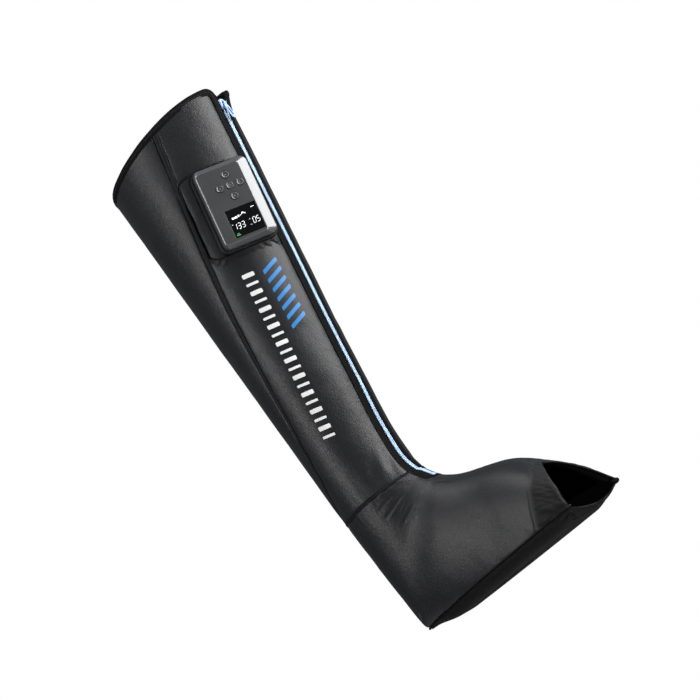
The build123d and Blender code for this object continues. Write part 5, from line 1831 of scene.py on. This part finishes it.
BTN_C, PX, PY = (1.1, 21.7), 14.1, 15.2
BTN = {"up": (BTN_C[0], BTN_C[1] + PY), "down": (BTN_C[0], BTN_C[1] - PY), "left": (BTN_C[0] - PX, BTN_C[1]),
       "right": (BTN_C[0] + PX, BTN_C[1]), "centre": BTN_C}
DX0, DX1, DY0, DY1 = -19.9, FX + FW / 2 - 0.5, -46.5, -8.2


def circ(x, y, r, z, n=40):
    a = np.linspace(0, 2 * math.pi, n, endpoint=False)
    return np.stack([x + r * np.cos(a), y + r * np.sin(a), np.full(n, z)], 1)


outer = [left_in(lerp_loop(1.0, z_, i_), 0.3) for z_, i_ in ((19.97, 0.80), (19.90, 0.70), (19.6, 0.66), (18.5, 0.66))]
holes = [[circ(x, y, 5.75, 19.97), circ(x, y, 5.45, 19.86), circ(x, y, 5.30, 19.55), circ(x, y, 5.30, 18.5)] for x, y in BTN.values()]
dw, dh, dcx, dcy = DX1 - DX0, DY1 - DY0, (DX0 + DX1) / 2, (DY0 + DY1) / 2


def disp_loop(k, z):
    return np.c_[rr_loop(dw - 1.1 + 2 * k, dh - 0.9 + 2 * k, 0.9 + k, dcx - 0.55, dcy + 0.45, nc=4, ns=8), np.full(48, z)]


holes.append([disp_loop(0.28, 19.97), disp_loop(0.08, 19.90), disp_loop(0.0, 19.7), disp_loop(0.0, 18.5)])
ob = plate("unit_face_plate_front", outer, holes, M["face"], "control_unit")
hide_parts("unit_face_plate")

# --- buttons: dished caps with a fine ring and a generic sign -----------------------------------


def fan_solid(polys, z0, z1, bev=0.0):
    """thin closed solids from convex or star-shaped loops (list of (n,2)), unit frame"""
    out = []
    for lp in polys:
        lp = np.asarray(lp, float)
        out.append(np.array([np.c_[lp, np.full(len(lp), z0)], np.c_[lp, np.full(len(lp), z1 - bev)], np.c_[loop_offset(lp, bev), np.full(len(lp), z1)]]))
    return out


def arrow(x, y, ang, s=1.0):
    p = np.array([(-1.5, -0.9), (0.0, 0.75), (1.5, -0.9), (1.05, -1.35), (0.0, -0.18), (-1.05, -1.35)]) * s
    c, q = math.cos(math.radians(ang)), math.sin(math.radians(ang))
    return np.stack([x + p[:, 0] * c - p[:, 1] * q, y + p[:, 0] * q + p[:, 1] * c], 1)


def bar2(x0, y0, x1, y1, w_):
    d = np.array([x1 - x0, y1 - y0])
    d = d / np.linalg.norm(d)
    n = np.array([-d[1], d[0]]) * w_ / 2
    a, b = np.array([x0, y0]), np.array([x1, y1])
    return np.array([a - n, b - n, b + n, a + n])


for nm, (x, y) in BTN.items():
    prof_ = [(4.95, 17.0), (4.98, 20.1), (4.92, 20.55), (4.74, 20.85), (4.45, 21.0), (4.12, 21.02), (3.85, 20.93), (3.6, 20.80), (2.6, 20.68), (1.3, 20.62), (0.3, 20.6)]
    rings = np.array([circ(x, y, r, z, 48) for r, z in prof_])
    R = unit_to_world(np.concatenate([[circ(x, y, 5.9, 16.35, 48), circ(x, y, 5.95, 17.0, 48), circ(x, y, 5.9, 17.25, 48)], [circ(x, y, 5.0, 17.4, 48)], rings[1:]]))
    ob = loft("button_%s_cap" % nm, R, M["button"], "button_%s" % nm)
    autosmooth(ob, 60)
    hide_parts("button_%s" % nm)
    if nm == "centre":
        a = np.linspace(math.radians(125), math.radians(415), 20)
        arc_o = np.stack([x + 1.75 * np.cos(a), y + 1.75 * np.sin(a)], 1)
        arc_i = np.stack([x + 1.25 * np.cos(a), y + 1.25 * np.sin(a)], 1)[::-1]
        polys = [np.concatenate([arc_o, arc_i]), bar2(x, y + 0.7, x, y + 2.1, 0.5)]
    else:
        ang = {"up": 0, "down": 180, "left": 90, "right": -90}[nm]
        polys = [arrow(x, y, ang)]
    ms = [unit_to_world(q) for q in fan_solid(polys, 20.55, 20.84)]
    ob = join("button_%s_sign" % nm, ms, M["icon"], "button_%s" % nm)
    # fine bright ring inside the rim of the cap
    a = np.linspace(0, 2 * math.pi, 48, endpoint=False)
    pts = unit_to_world(circ(x, y, 3.95, 20.98, 48))
    ob = tube("button_%s_ring" % nm, pts, 0.17, M["icon"], "button_%s" % nm, n=6, closed_path=True, up=np.tile(UN, (48, 1)))

# --- display: lit digits and bars, all generic ------------------------------------------------------
SEG = {"a": ((0.12, 1.0), (0.88, 1.0)), "g": ((0.12, 0.5), (0.88, 0.5)), "d": ((0.12, 0.0), (0.88, 0.0)),
       "f": ((0.0, 0.56), (0.0, 0.94)), "b": ((1.0, 0.56), (1.0, 0.94)), "e": ((0.0, 0.06), (0.0, 0.44)), "c": ((1.0, 0.06), (1.0, 0.44))}
DIG = {"0": "abcdef", "1": "bc", "2": "abged", "3": "abgcd", "4": "fgbc", "5": "afgcd", "6": "afgecd", "7": "abc", "8": "abcdefg", "9": "abcfgd"}


def digit(ch, x, y, w_, h_, sw):
    out = []
    for s_ in DIG[ch]:
        (ax, ay), (bx, by) = SEG[s_]
        p0 = np.array([x + ax * w_ + 0.10 * h_ * ay, y + ay * h_])
        p1 = np.array([x + bx * w_ + 0.10 * h_ * by, y + by * h_])
        d = (p1 - p0) / np.linalg.norm(p1 - p0)
        n = np.array([-d[1], d[0]]) * sw / 2
        out.append(np.array([p0 - n + d * sw * 0.3, p1 - n - d * sw * 0.3, p1 + d * sw * 0.15, p1 + n - d * sw * 0.3, p0 + n + d * sw * 0.3, p0 - d * sw * 0.15]))
    return out


ZD0, ZD1 = 19.93, 20.0
polys = []
for k, ch in enumerate("133"):
    polys += digit(ch, -16.9 + k * 5.5, -35.6, 3.5, 7.6, 0.52)
for k, ch in enumerate("05"):
    polys += digit(ch, 9.6 + k * 5.3, -35.4, 3.5, 7.6, 0.52)
ms = [unit_to_world(q) for q in fan_solid(polys, ZD0, ZD1)]
ob = join("display_digits", ms, M["led_white"], "control_unit")
polys = []
for k, (x, hgt) in enumerate(((-14.6, 2.2), (-12.0, 2.4), (-9.4, 2.6))):      # rising level bars
    polys.append(np.array([(x, -21.4), (x + 1.9, -21.4), (x + 1.9, -21.4 + hgt), (x, -21.4 + hgt)]))
polys.append(np.array([(-6.2, -20.6), (-4.2, -20.6), (-4.2, -18.4), (-6.2, -18.4)]))
polys.append(np.array([(-3.1, -19.9), (-2.1, -19.9), (-2.1, -18.9), (-3.1, -18.9)]))
polys.append(bar2(-1.0, -19.0, 1.4, -16.4, 0.95))
polys.append(bar2(1.2, -16.4, 4.6, -19.4, 0.95))
polys.append(bar2(14.0, -14.2, 18.4, -14.2, 0.6))
for x, y in ((-18.2, -28.0), (5.6, -28.4)):
    polys.append(bar2(x, y, x + 1.6, y, 0.45))
for x in (4.6, 6.2):
    polys.append(bar2(x, -35.6, x + 0.7, -35.6, 0.45))
ms = [unit_to_world(q) for q in fan_solid(polys, ZD0, ZD1)]
ob = join("display_bars", ms, M["led_white"], "control_unit")
polys = [bar2(-17.6, -42.9, -12.6, -42.9, 0.9), bar2(-17.0, -40.9, -13.4, -40.9, 0.7)]
ms = [unit_to_world(q) for q in fan_solid(polys, ZD0, ZD1)]
ob = join("display_mark_green", ms, M["led_green"], "control_unit")
# [/b]

# [c]
M["edge_tape"] = ribbed("edge_tape", (0.008, 0.0083, 0.0096), (0.021, 0.0217, 0.0245), rough=0.5, spec=0.2, sheen=0.0)
# --- sole: a padded lens under the foot, its edge sewn to the upper ---------------------------
NEAR = [(ST[i][0] - ST[i][7] - XO, -ST[i][5]) for i in range(0, 10)]
FAR = [(ST[i][0] + ST[i][7] - XO, ST[i][5]) for i in range(0, 9)]


def sole_edge(n=260):
    """plan outline of the seam: from the heel tip along the near side, across the toe, back along the far side"""
    pts = [NEAR[9]] + list(reversed(NEAR[:9])) + [(301.8 - XO, -30.0), (306.2 - XO, 0.0), (310.2 - XO, 30.0)] + FAR
    P_ = np.array(pts + [pts[0]])
    l = np.concatenate([[0], np.cumsum(np.linalg.norm(np.diff(P_, axis=0), axis=1))])
    # keep the heel tip and the two toe corners sharp: smooth the sides only
    q = np.linspace(0, l[-1], n, endpoint=False)
    c = np.stack([np.interp(q, l, P_[:, k]) for k in (0, 1)], 1)
    tip = np.minimum(q, l[-1] - q)
    cn, cf = l[9], l[12]
    sharp = np.minimum(np.minimum(np.abs(q - cn), np.abs(q - cf)), tip)
    for _ in range(30):
        s_ = (np.roll(c, 1, 0) + np.roll(c, -1, 0)) / 2
        k_ = smooth(sharp, 1.0, 10.0)[:, None] * 0.5
        c = c * (1 - k_) + s_ * k_
    return c, q, l


SO_PTS, SO_Q, SO_L = sole_edge()


def front_x(y):
    """where the sole ends at the toe opening"""
    return np.interp(y, [-55.0, -30.0, 0.0, 30.0, 55.0], [137.0, 141.8, 146.2, 150.2, 153.0])


def lip_z(y):
    """the sole's front edge sags between the two corners of the mouth"""
    return np.minimum(14.4, 2.3 + 12.1 * (np.abs(y - 1.0) / 54.0) ** 2)


def lip(x, y):
    """height of the sole's upper surface: it thins out to a curved lip at the toe opening"""
    return 14.4 - (14.4 - lip_z(y)) * smooth(x - front_x(y), -52.0, -3.0)


def lipped(p):
    """points of the sole follow the lip; z is given for the full height"""
    p = np.array(p, float)
    x, y = p[..., 0], p[..., 1]
    zt = lip(x, y)
    zb = np.maximum(lip_z(y) - 3.0, 0.0) * smooth(x - front_x(y), -40.0, -2.0)
    zb = np.maximum(zb, 11.2 * (1 - smooth(x, -158.0, -92.0)))          # the sole thins out towards the heel's tip
    p[..., 2] = zb + p[..., 2] / 14.4 * (zt - zb)
    return p


def sole_piece():
    n = len(SO_PTS)
    levels = [(0.3, 14.9), (-0.15, 13.9), (0.0, 12.6), (0.6, 10.6), (1.9, 8.0), (3.9, 5.4), (6.5, 3.0), (9.6, 1.2), (13.5, 0.25), (18.0, 0.0)]
    rings = []
    cen = SO_PTS.mean(0)
    u = noise3(np.stack([SO_Q / 14.0, SO_Q * 0, SO_Q * 0], -1), 111)
    u2 = noise3(np.stack([SO_Q / 6.0, SO_Q * 0, SO_Q * 0], -1), 112)
    t = np.roll(SO_PTS, -1, 0) - np.roll(SO_PTS, 1, 0)
    t /= np.linalg.norm(t, axis=1, keepdims=True)
    nrm = np.stack([-t[:, 1], t[:, 0]], 1)
    heel = smooth(SO_PTS[:, 0], -160, -95)
    width = np.abs(SO_PTS[:, 1])

    def ring(k, z, amp):
        kk = np.minimum(k, np.maximum(width * 0.55, 0.25))      # the heel tip is narrow
        toe_end = smooth(SO_PTS[:, 0], 120, 150)
        p = SO_PTS + nrm * kk[:, None]
        zz = z + amp * (0.35 * u + 0.2 * u2) + 0 * kk
        lift = (1 - heel) * (1 - np.minimum(k / 18.0, 1)) * 0.0
        return np.c_[p, zz + lift]
    for k, z in levels:
        rings.append(ring(k, z, 1.0 if 1 < z < 13 else 0.0))
    # flat underside closes towards the middle line
    mid = SO_PTS.copy()
    mid[:, 1] *= 0.42
    mid[:, 0] = mid[:, 0] * 0.93 + 0.4
    rings.append(np.c_[mid, np.zeros(n)])
    mid2 = SO_PTS.copy()
    mid2[:, 1] *= 0.08
    mid2[:, 0] = mid2[:, 0] * 0.86 + 0.8
    rings.append(np.c_[mid2, np.zeros(n)])
    V = np.concatenate(rings)
    F = []
    for i in range(len(rings) - 1):
        for j in range(n):
            F.append((i * n + j, i * n + (j + 1) % n, (i + 1) * n + (j + 1) % n, (i + 1) * n + j))
    top = np.c_[SO_PTS + nrm * np.minimum(6.0, np.maximum(width * 0.5, 0.2))[:, None], np.full(n, 14.3)]
    top2 = mid2.copy()
    top2 = np.c_[top2, np.full(n, 14.3)]
    o = len(V)
    steps = [top * (1 - f) + top2 * f for f in np.linspace(0, 1, 9)]       # so that the upper surface follows the lip
    V = np.concatenate([V] + steps)
    for j in range(n):
        k = (j + 1) % n
        F.append((j, o + j, o + k, k))
        for i in range(8):
            a = o + i * n
            F.append((a + j, a + n + j, a + n + k, a + k))
    F.append(tuple(o + 8 * n + j for j in range(n)))
    F.append(tuple((len(rings) - 1) * n + j for j in reversed(range(n))))
    uv = V[:, :2] * MM
    ob = make("sole_pad_shell", lipped(V), F, M["sole"], uv=uv)
    fix_normals(ob)
    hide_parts("sole_pad")


sole_piece()


def sole_piping():
    """folded tape along the seam between the sole and the upper"""
    c, q = SO_PTS, SO_Q
    n = len(c)
    t = np.roll(c, -1, 0) - np.roll(c, 1, 0)
    t /= np.linalg.norm(t, axis=1, keepdims=True)
    nrm = np.stack([t[:, 1], -t[:, 0]], 1)          # outwards
    sec = [(-3.4, 14.4), (-1.0, 14.35), (0.5, 14.45), (1.25, 14.9), (1.45, 15.45), (1.15, 16.1), (0.4, 16.45), (-0.8, 16.3), (-2.2, 15.9), (-3.4, 15.6)]
    u = noise3(np.stack([q / 8.0, q * 0, q * 0], -1), 121)
    width = np.abs(c[:, 1])
    rings = []
    for k, z in sec:
        kk = np.maximum(k, -np.maximum(width * 0.5, 0.2))
        rings.append(np.c_[c + nrm * kk[:, None], z + 0.18 * u])
    R = np.array(rings).transpose(1, 0, 2)
    R[..., 2] -= (14.4 - lip(R[..., 0], R[..., 1]))
    uv = np.stack([np.repeat(np.array([k for k, _ in sec])[None, :], n, 0), np.repeat(q[:, None], len(sec), 1)], -1) * MM
    ob = loft("sole_piping_tape", R, M["binding"], closed_path=True, uv=uv)
    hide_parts("sole_piping")
    # welt thread on the upper, just over the piping
    keep = (c[:, 0] < 138) & (c[:, 0] > -96)
    lines = []
    for sgn in (-1, 1):
        m = keep & (np.sign(c[:, 1]) == sgn)
        idx = np.where(m)[0]
        p = np.c_[c[idx] + nrm[idx] * 0.15, np.full(len(idx), 10.6)]
        nn = np.c_[nrm[idx], np.full(len(idx), -0.5)]
        lines.append((p, nn))
    stitches("sole_edge_stitches", lines, M["thread_dark"], pitch=3.3, length=2.4, rad=0.24, lift=0.05)


sole_piping()

# --- footbed lining: thin fabric over the sole chamber, with welded lines -----------------------


def footbed():
    nx, ny = 150, 61
    xs = np.linspace(-122, 1, nx)
    t = np.linspace(-1, 1, ny)
    half_at = lambda x: np.interp(x, [-122, -100, -60, -20, 18, 55, 90, 120, 140], [7.0, 18.5, 29.0, 36.5, 41.5, 44.5, 45.5, 44.0, 43.5])
    k = np.linspace(0, 1, nx)[:, None]
    end = np.interp(43.5 * t, [-43.5, 0.0, 43.5], [130.2, 134.2, 142.2])
    X = -122 + (end[None, :] + 122) * k
    Y = half_at(X) * t[None, :]
    edge = 1 - np.abs(t)[None, :] ** 6
    Z = 23.6 + 0.35 * edge
    rel = 0.25 * noise3(np.stack([X / 18, Y / 18, X * 0], -1), 131)
    for xx in (-80, -35, 12, 58, 100):
        rel = rel - 0.8 * gauss(X - xx - 6 * np.sin(Y / 20.0), 2.4) * smooth(1 - np.abs(t)[None, :], 0.05, 0.3)
    Z = Z + rel * edge
    top = np.stack([X, Y, Z], -1)
    bot = np.stack([X, Y, np.full_like(X, 22.7)], -1)
    # front: over the end of the chamber and down to the sole's lip
    fold_o, fold_i = [], []
    y0 = half_at(end) * t
    y1 = y0 * 1.13
    xe, ze = front_x(y1) - 1.2, lip_z(y1)
    for u, ax, az_ in ((0.08, 1.3, 23.3), (0.16, 2.2, 22.5), (0.26, 2.7, 21.0), (0.38, 3.0, 18.9), (0.50, 3.3, 16.9)):
        yy_ = y0 + (y1 - y0) * u
        fold_o.append(np.stack([end + ax, yy_, np.maximum(np.full(ny, az_), ze + 1.2)], -1))
        fold_i.append(np.stack([end + ax - 0.75, yy_, np.maximum(np.full(ny, az_ - 0.5), ze + 0.7)], -1))
    for u in (0.25, 0.5, 0.75, 1.0):
        yy_ = y0 + (y1 - y0) * (0.5 + 0.5 * u)
        x_ = (end + 3.3) * (1 - u) + xe * u
        z_ = 16.9 + (ze + 0.9 - 16.9) * (1 - (1 - u) ** 1.8)
        z_ = np.maximum(z_, ze + 0.9)
        fold_o.append(np.stack([x_, yy_, z_], -1))
        fold_i.append(np.stack([x_ - 0.7, yy_, z_ - 0.65], -1))
    top = np.concatenate([top, np.array(fold_o)], 0)
    bot = np.concatenate([bot, np.array(fold_i)], 0)
    # near-black footbed cloth: painted shade inside the toe opening
    ob = shell("footbed_lining_cloth", top, bot, M["lining_shade_black"], uv=top[..., :2] * MM)
    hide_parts("footbed_lining")
    # rolled edge of the lip between the two corners
    yy_ = np.linspace(-53.5, 53.5, 90)
    r_ = 0.95 + 0.10 * noise3(np.stack([yy_ / 6.0, yy_ * 0, yy_ * 0], -1), 133)
    p = np.stack([front_x(yy_) + 0.3 + 0.5 * noise3(np.stack([yy_ / 15.0, yy_ * 0, yy_ * 0], -1), 134), yy_, lip_z(yy_) + 0.85], -1)
    ob = tube("toe_lip_edge", p, 0.95, M["edge_tape"], n=12, up=np.tile(ZZ, (90, 1)))


footbed()

# --- toe opening: folded binding round the mouth, gathered behind it ----------------------------


def toe_binding(lat):
    """U-shaped tape over the edge of the upper, with its thread; the gathered strip behind it is part of the foot
    panels
    """
    hl_f = lambda w: float(half_len(w))
    n = 120
    q = np.linspace(0, 1, n)
    w_edge = float(W_of_v(-0.06))
    hl = hl_f(w_edge)
    sg = hl * q
    sg[0] = 0.02
    wob = 0.9 * noise3(np.stack([sg / 17.0, sg * 0 + (0 if lat else 9.0), sg * 0], -1), 141)
    wob = wob + 0.5 * noise3(np.stack([sg / 6.0, sg * 0 + (0 if lat else 9.0), sg * 0], -1), 142)
    wob = wob * np.sin(math.pi * np.clip(q, 0.0, 1.0)) ** 0.5
    # (distance back from the edge, depth): outer leg, fold, inner leg
    sec = [(3.5, 0.30), (3.35, -0.22), (3.0, -0.50), (2.7, -0.42), (2.3, -0.58), (1.6, -0.72), (0.8, -0.66), (0.1, -0.30), (-0.35, 0.35), (-0.45, 1.0),
           (-0.3, 1.6), (0.2, 2.1), (0.9, 2.4), (1.7, 2.65), (2.5, 2.85), (2.5, 2.5), (1.9, 2.2), (1.4, 1.7), (1.2, 1.2), (1.5, 0.75), (2.4, 0.62), (3.3, 0.62)]
    rings, uvs = [], []
    per_w = float(WST[1] - WST[0]) / 24.0
    for i in range(n):
        s = sg[i]
        ww = w_edge - float(EXT(q[i], lat)) + np.array([k for k, _ in sec]) * 1.0 + wob[i] * np.clip(1 - np.array([k for k, _ in sec]) / 12.0, 0, 1)
        dd = np.array([d for _, d in sec])
        # thin near the two corners so that both sides meet cleanly
        u = min(q[i], 1 - q[i])
        dd = dd * (0.25 + 0.75 * float(smooth(u, 0.0, 0.10)))
        dd = dd - 0.22 * noise3(np.array([[s / 5.0, 0.0, 4.0 if lat else 7.0]]), 143)[0] * (dd < 0)
        frac = s / hl
        ss = frac * half_len(ww)
        t = t_of_s(ww, ss)
        if i == n - 1:
            t = np.full(len(ww), math.pi if lat else math.pi - 1e-6)
        rings.append(PT(ww, t if lat else 2 * math.pi - t, dd))
        uvs.append(np.stack([np.array([k for k, _ in sec]) * MM, np.full(len(sec), s * MM)], -1))
    R = np.array(rings)
    R[..., 1] = np.minimum(R[..., 1], -0.02) if lat else np.maximum(R[..., 1], 0.02)
    nm = "toe_binding_%s" % ("lateral" if lat else "medial")
    ob = loft(nm + "_tape", R, M["edge_tape"], uv=np.array(uvs))
    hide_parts(nm)
    lines = [(R[3:-3, 4], (R[3:-3, 4] - R[3:-3, 20]))]
    stitches("toe_binding_%s_stitches" % ("lateral" if lat else "medial"), lines, M["thread"], pitch=3.0, length=2.2, rad=0.24, lift=0.08)
    return R


TOE_L = toe_binding(True)
TOE_M = toe_binding(False)
stitches("instep_seam_stitches", INSTEP_LINES, M["thread"], pitch=3.4, length=2.4, rad=0.26, lift=0.06)

# small turned-over ends of the tapes at the corners of the mouth and at the heel tip
def nub(name, c, axis, r, L, mat, body="boot"):
    c = np.asarray(c, float)
    axis = np.asarray(axis, float)
    axis = axis / np.linalg.norm(axis)
    a = np.cross(axis, [0.3, 0.2, 0.9])
    a /= np.linalg.norm(a)
    b = np.cross(axis, a)
    rings = []
    for u in np.linspace(0, 1, 11):
        rad = r * math.sqrt(max(1 - abs(2 * u - 1) ** 3.0, 0.0)) + 0.05
        an = np.linspace(0, 2 * math.pi, 16, endpoint=False)
        bend = 0.35 * r * math.sin(math.pi * u)
        rings.append(c + axis * (u - 0.5) * L + a * bend + np.outer(np.cos(an), a) * rad + np.outer(np.sin(an), b) * rad * 0.62)
    ob = loft(name, np.array(rings), mat, body)


nub("toe_corner_tab_near", [TOE_L[-3, 8, 0] + 0.2, TOE_L[-3, 8, 1] + 0.6, 16.6], (0.8, 0.5, 0.1), 2.1, 7.0, M["edge_tape"])
nub("toe_corner_tab_far", [150.6, 51.6, 15.2], (0.45, 1.0, 0.10), 5.6, 14.0, M["binding"])
nub("toe_corner_tab_top", TOE_L[1, 8] + np.array([0.0, 0.6, -0.2]), (0.4, 1.0, 0.1), 1.7, 6.0, M["binding"])
nub("heel_tail_tab", [-159.6, 0.0, 14.6], (1.0, 0.0, 0.5), 2.4, 9.0, M["edge_tape"])
# [/c]

# [d]
# generic stripe graphic on the outer side: a row of small white bars and a short row of blue ones


def wall_bars(name, path, count, length, widths, slant, material, lift=0.20):
    """printed bars in rows that follow the fabric; path = [(w, s), ...] of the row's middle"""
    path = np.array(path, float)
    seg = np.concatenate([[0], np.cumsum(np.linalg.norm(np.diff(path, axis=0), axis=1))])
    V, F = [], []
    for k in range(count):
        q = seg[-1] * (k + 0.5) / count
        c = np.array([np.interp(q, seg, path[:, 0]), np.interp(q, seg, path[:, 1])])
        i = min(int(np.searchsorted(seg, q)), len(path) - 1)
        along = path[i] - path[i - 1]
        along = along / np.linalg.norm(along)
        across = np.array([-along[1], along[0]])
        sl = math.tan(math.radians(slant))
        wd = widths[k % len(widths)]
        na, nb = max(8, int(length / 1.1)), max(4, int(wd / 0.9) + 2)
        a = np.linspace(-0.5, 0.5, na)[:, None] * length
        b = np.linspace(-0.5, 0.5, nb)[None, :] * wd
        # rounded ends
        cut = np.clip((np.abs(a) - (length / 2 - 0.9)) / 0.9, 0, 1)
        b = b * (1 - 0.28 * cut ** 2)
        wg = c[0] + across[0] * a + along[0] * (b + sl * a)
        sg = c[1] + across[1] * a + along[1] * (b + sl * a)
        taug = t_of_s(wg, sg)
        disp = wall_disp(wg, sg, taug, "leg")
        o, _i, n = surface_grid(wg, taug, disp + lift, 0.0, sflare=sg)
        inn, _i, n = surface_grid(wg, taug, disp - 0.25, 0.0, sflare=sg)
        base = len(V)
        V.extend(o.reshape(-1, 3).tolist())
        V.extend(inn.reshape(-1, 3).tolist())
        m = na * nb
        idx = lambda r_, c_, l_: base + l_ * m + r_ * nb + c_
        for r_ in range(na - 1):
            for c_ in range(nb - 1):
                F.append((idx(r_, c_, 0), idx(r_ + 1, c_, 0), idx(r_ + 1, c_ + 1, 0), idx(r_, c_ + 1, 0)))
                F.append((idx(r_, c_, 1), idx(r_, c_ + 1, 1), idx(r_ + 1, c_ + 1, 1), idx(r_ + 1, c_, 1)))
        rim_ = [(r_, 0) for r_ in range(na)] + [(na - 1, c_) for c_ in range(1, nb)] + [(r_, nb - 1) for r_ in range(na - 2, -1, -1)] + [(0, c_) for c_ in range(nb - 2, 0, -1)]
        for p_, q_ in zip(rim_, rim_[1:] + rim_[:1]):
            F.append((idx(*p_, 0), idx(*p_, 1), idx(*q_, 1), idx(*q_, 0)))
    ob = make(name, V, F, material, "boot")
    fix_normals(ob)
    autosmooth(ob, 40)
    return ob


wall_bars("side_stripes_white", [(651.2, 75.7), (603.5, 75.0), (555.9, 74.3), (508.2, 74.3), (460.5, 75.0), (413.7, 75.3)], 20, 16.5, (5.6, 3.4), 14, M["white_print"])
wall_bars("side_stripes_blue", [(646.7, 44.7), (616.1, 43.7), (585.6, 42.7), (555.9, 41.7)], 7, 24.0, (5.4,), -16, M["blue_print"], lift=0.22)
# [/d]

# ---------------------------------------------------------------------------
# camera, light, floor
# ---------------------------------------------------------------------------


def camera():
    az, el, roll = math.radians(32.0), math.radians(-13.0), math.radians(36.5)
    bvec = Vector((math.sin(az) * math.cos(el), -math.cos(az) * math.cos(el), math.sin(el)))
    r = Vector((math.cos(az), math.sin(az), 0.0))
    u = bvec.cross(r)
    R = r * math.cos(roll) - u * math.sin(roll)
    U = r * math.sin(roll) + u * math.cos(roll)
    cam = bpy.data.cameras.new("camera")
    ob = bpy.data.objects.new("camera", cam)
    scene.collection.objects.link(ob)
    loc = Vector((-0.009, 0.0, 0.3525)) + bvec * 2.3
    ob.matrix_world = Matrix(((R.x, U.x, bvec.x, loc.x), (R.y, U.y, bvec.y, loc.y), (R.z, U.z, bvec.z, loc.z), (0, 0, 0, 1)))
    cam.sensor_width = 36.0
    cam.lens = 36.0 * (2300.0 / 1.28) / 700.0
    cam.clip_start, cam.clip_end = 0.05, 60.0
    scene.camera = ob
    return bvec, R, U


BVEC, CR, CU = camera()


def area(name, loc, target, size, power, color=(1, 1, 1), size_y=None, spread=180):
    li = bpy.data.lights.new(name, "AREA")
    li.shape = "RECTANGLE"
    li.size = size
    li.size_y = size_y or size
    li.energy = power
    li.color = color
    li.spread = math.radians(spread)
    ob = bpy.data.objects.new(name, li)
    scene.collection.objects.link(ob)
    ob.location = loc
    ob.rotation_mode = "QUATERNION"
    ob.rotation_quaternion = (Vector(target) - Vector(loc)).to_track_quat("-Z", "Y")
    return ob


UCW = Vector((UO + UN * 20.0).tolist()) * MM
C0 = Vector((0.0, 0.0, 0.38))
ux, uy, un = (Vector(x.tolist()) for x in (UX, UY, UN))


def azdir(az, el):
    a_, e_ = math.radians(az), math.radians(el)
    return Vector((math.sin(a_) * math.cos(e_), -math.cos(a_) * math.cos(e_), math.sin(e_)))


area("softbox_right", C0 + azdir(88, 0) * 1.9, C0 + Vector((0, 0, 0.05)), 0.56, 36.0, size_y=2.3)
area("softbox_edge", UCW + azdir(111, 6) * 0.95, UCW, 0.40, 10.5, size_y=0.85)
area("softbox_left", C0 + azdir(-26, 8) * 1.9, C0, 0.42, 22.0, size_y=2.0)
area("softbox_top", Vector((0.25, -0.75, 2.3)), Vector((0.0, 0.0, 0.2)), 1.1, 24.0)

world = bpy.data.worlds.new("studio")
scene.world = world
world.use_nodes = True
wt = world.node_tree
for x in list(wt.nodes):
    wt.nodes.remove(x)
out = wt.nodes.new("ShaderNodeOutputWorld")
mix = wt.nodes.new("ShaderNodeMixShader")
lp = wt.nodes.new("ShaderNodeLightPath")
bg1 = wt.nodes.new("ShaderNodeBackground")
bg2 = wt.nodes.new("ShaderNodeBackground")
# the room: dim in front, a pale backdrop behind the object
tcw = wt.nodes.new("ShaderNodeTexCoord")
dotv = wt.nodes.new("ShaderNodeVectorMath")
dotv.operation = "DOT_PRODUCT"
dotv.inputs[1].default_value = (-0.5163, 0.8263, 0.2250)
wt.links.new(tcw.outputs["Generated"], dotv.inputs[0])
mz = wt.nodes.new("ShaderNodeMapRange")
mz.interpolation_type = "SMOOTHSTEP"
for i_, v_ in enumerate((0.30, 0.98, 0.050, 0.13)):
    mz.inputs[i_ + 1].default_value = v_
wt.links.new(dotv.outputs["Value"], mz.inputs[0])
bg1.inputs["Color"].default_value = (0.95, 0.97, 1.0, 1)
wt.links.new(mz.outputs[0], bg1.inputs["Strength"])
bg2.inputs["Color"].default_value = (1, 1, 1, 1)
bg2.inputs["Strength"].default_value = 1.0
wt.links.new(lp.outputs["Is Camera Ray"], mix.inputs[0])
wt.links.new(bg1.outputs[0], mix.inputs[1])
wt.links.new(bg2.outputs[0], mix.inputs[2])
wt.links.new(mix.outputs[0], out.inputs[0])
scene.view_settings.view_transform = "Standard"

# floor: pale, well below the boot because the view looks up at it
fm = Mat("studio_floor")
fm.set(base=(0.80, 0.80, 0.80), rough=0.9, emit=(1, 1, 1), emit_s=0.5)
flp = fm.node("ShaderNodeLightPath")
fm.link(fm.math("MULTIPLY", flp.outputs["Is Camera Ray"], 0.55), fm.b.inputs["Emission Strength"])
me = bpy.data.meshes.new("studio_floor")
me.from_pydata([(-9, -9, -1.3), (9, -9, -1.3), (9, 9, -1.3), (-9, 9, -1.3)], [], [(0, 1, 2, 3)])
me.materials.append(fm.m)
floor = bpy.data.objects.new("studio_floor", me)
scene.collection.objects.link(floor)
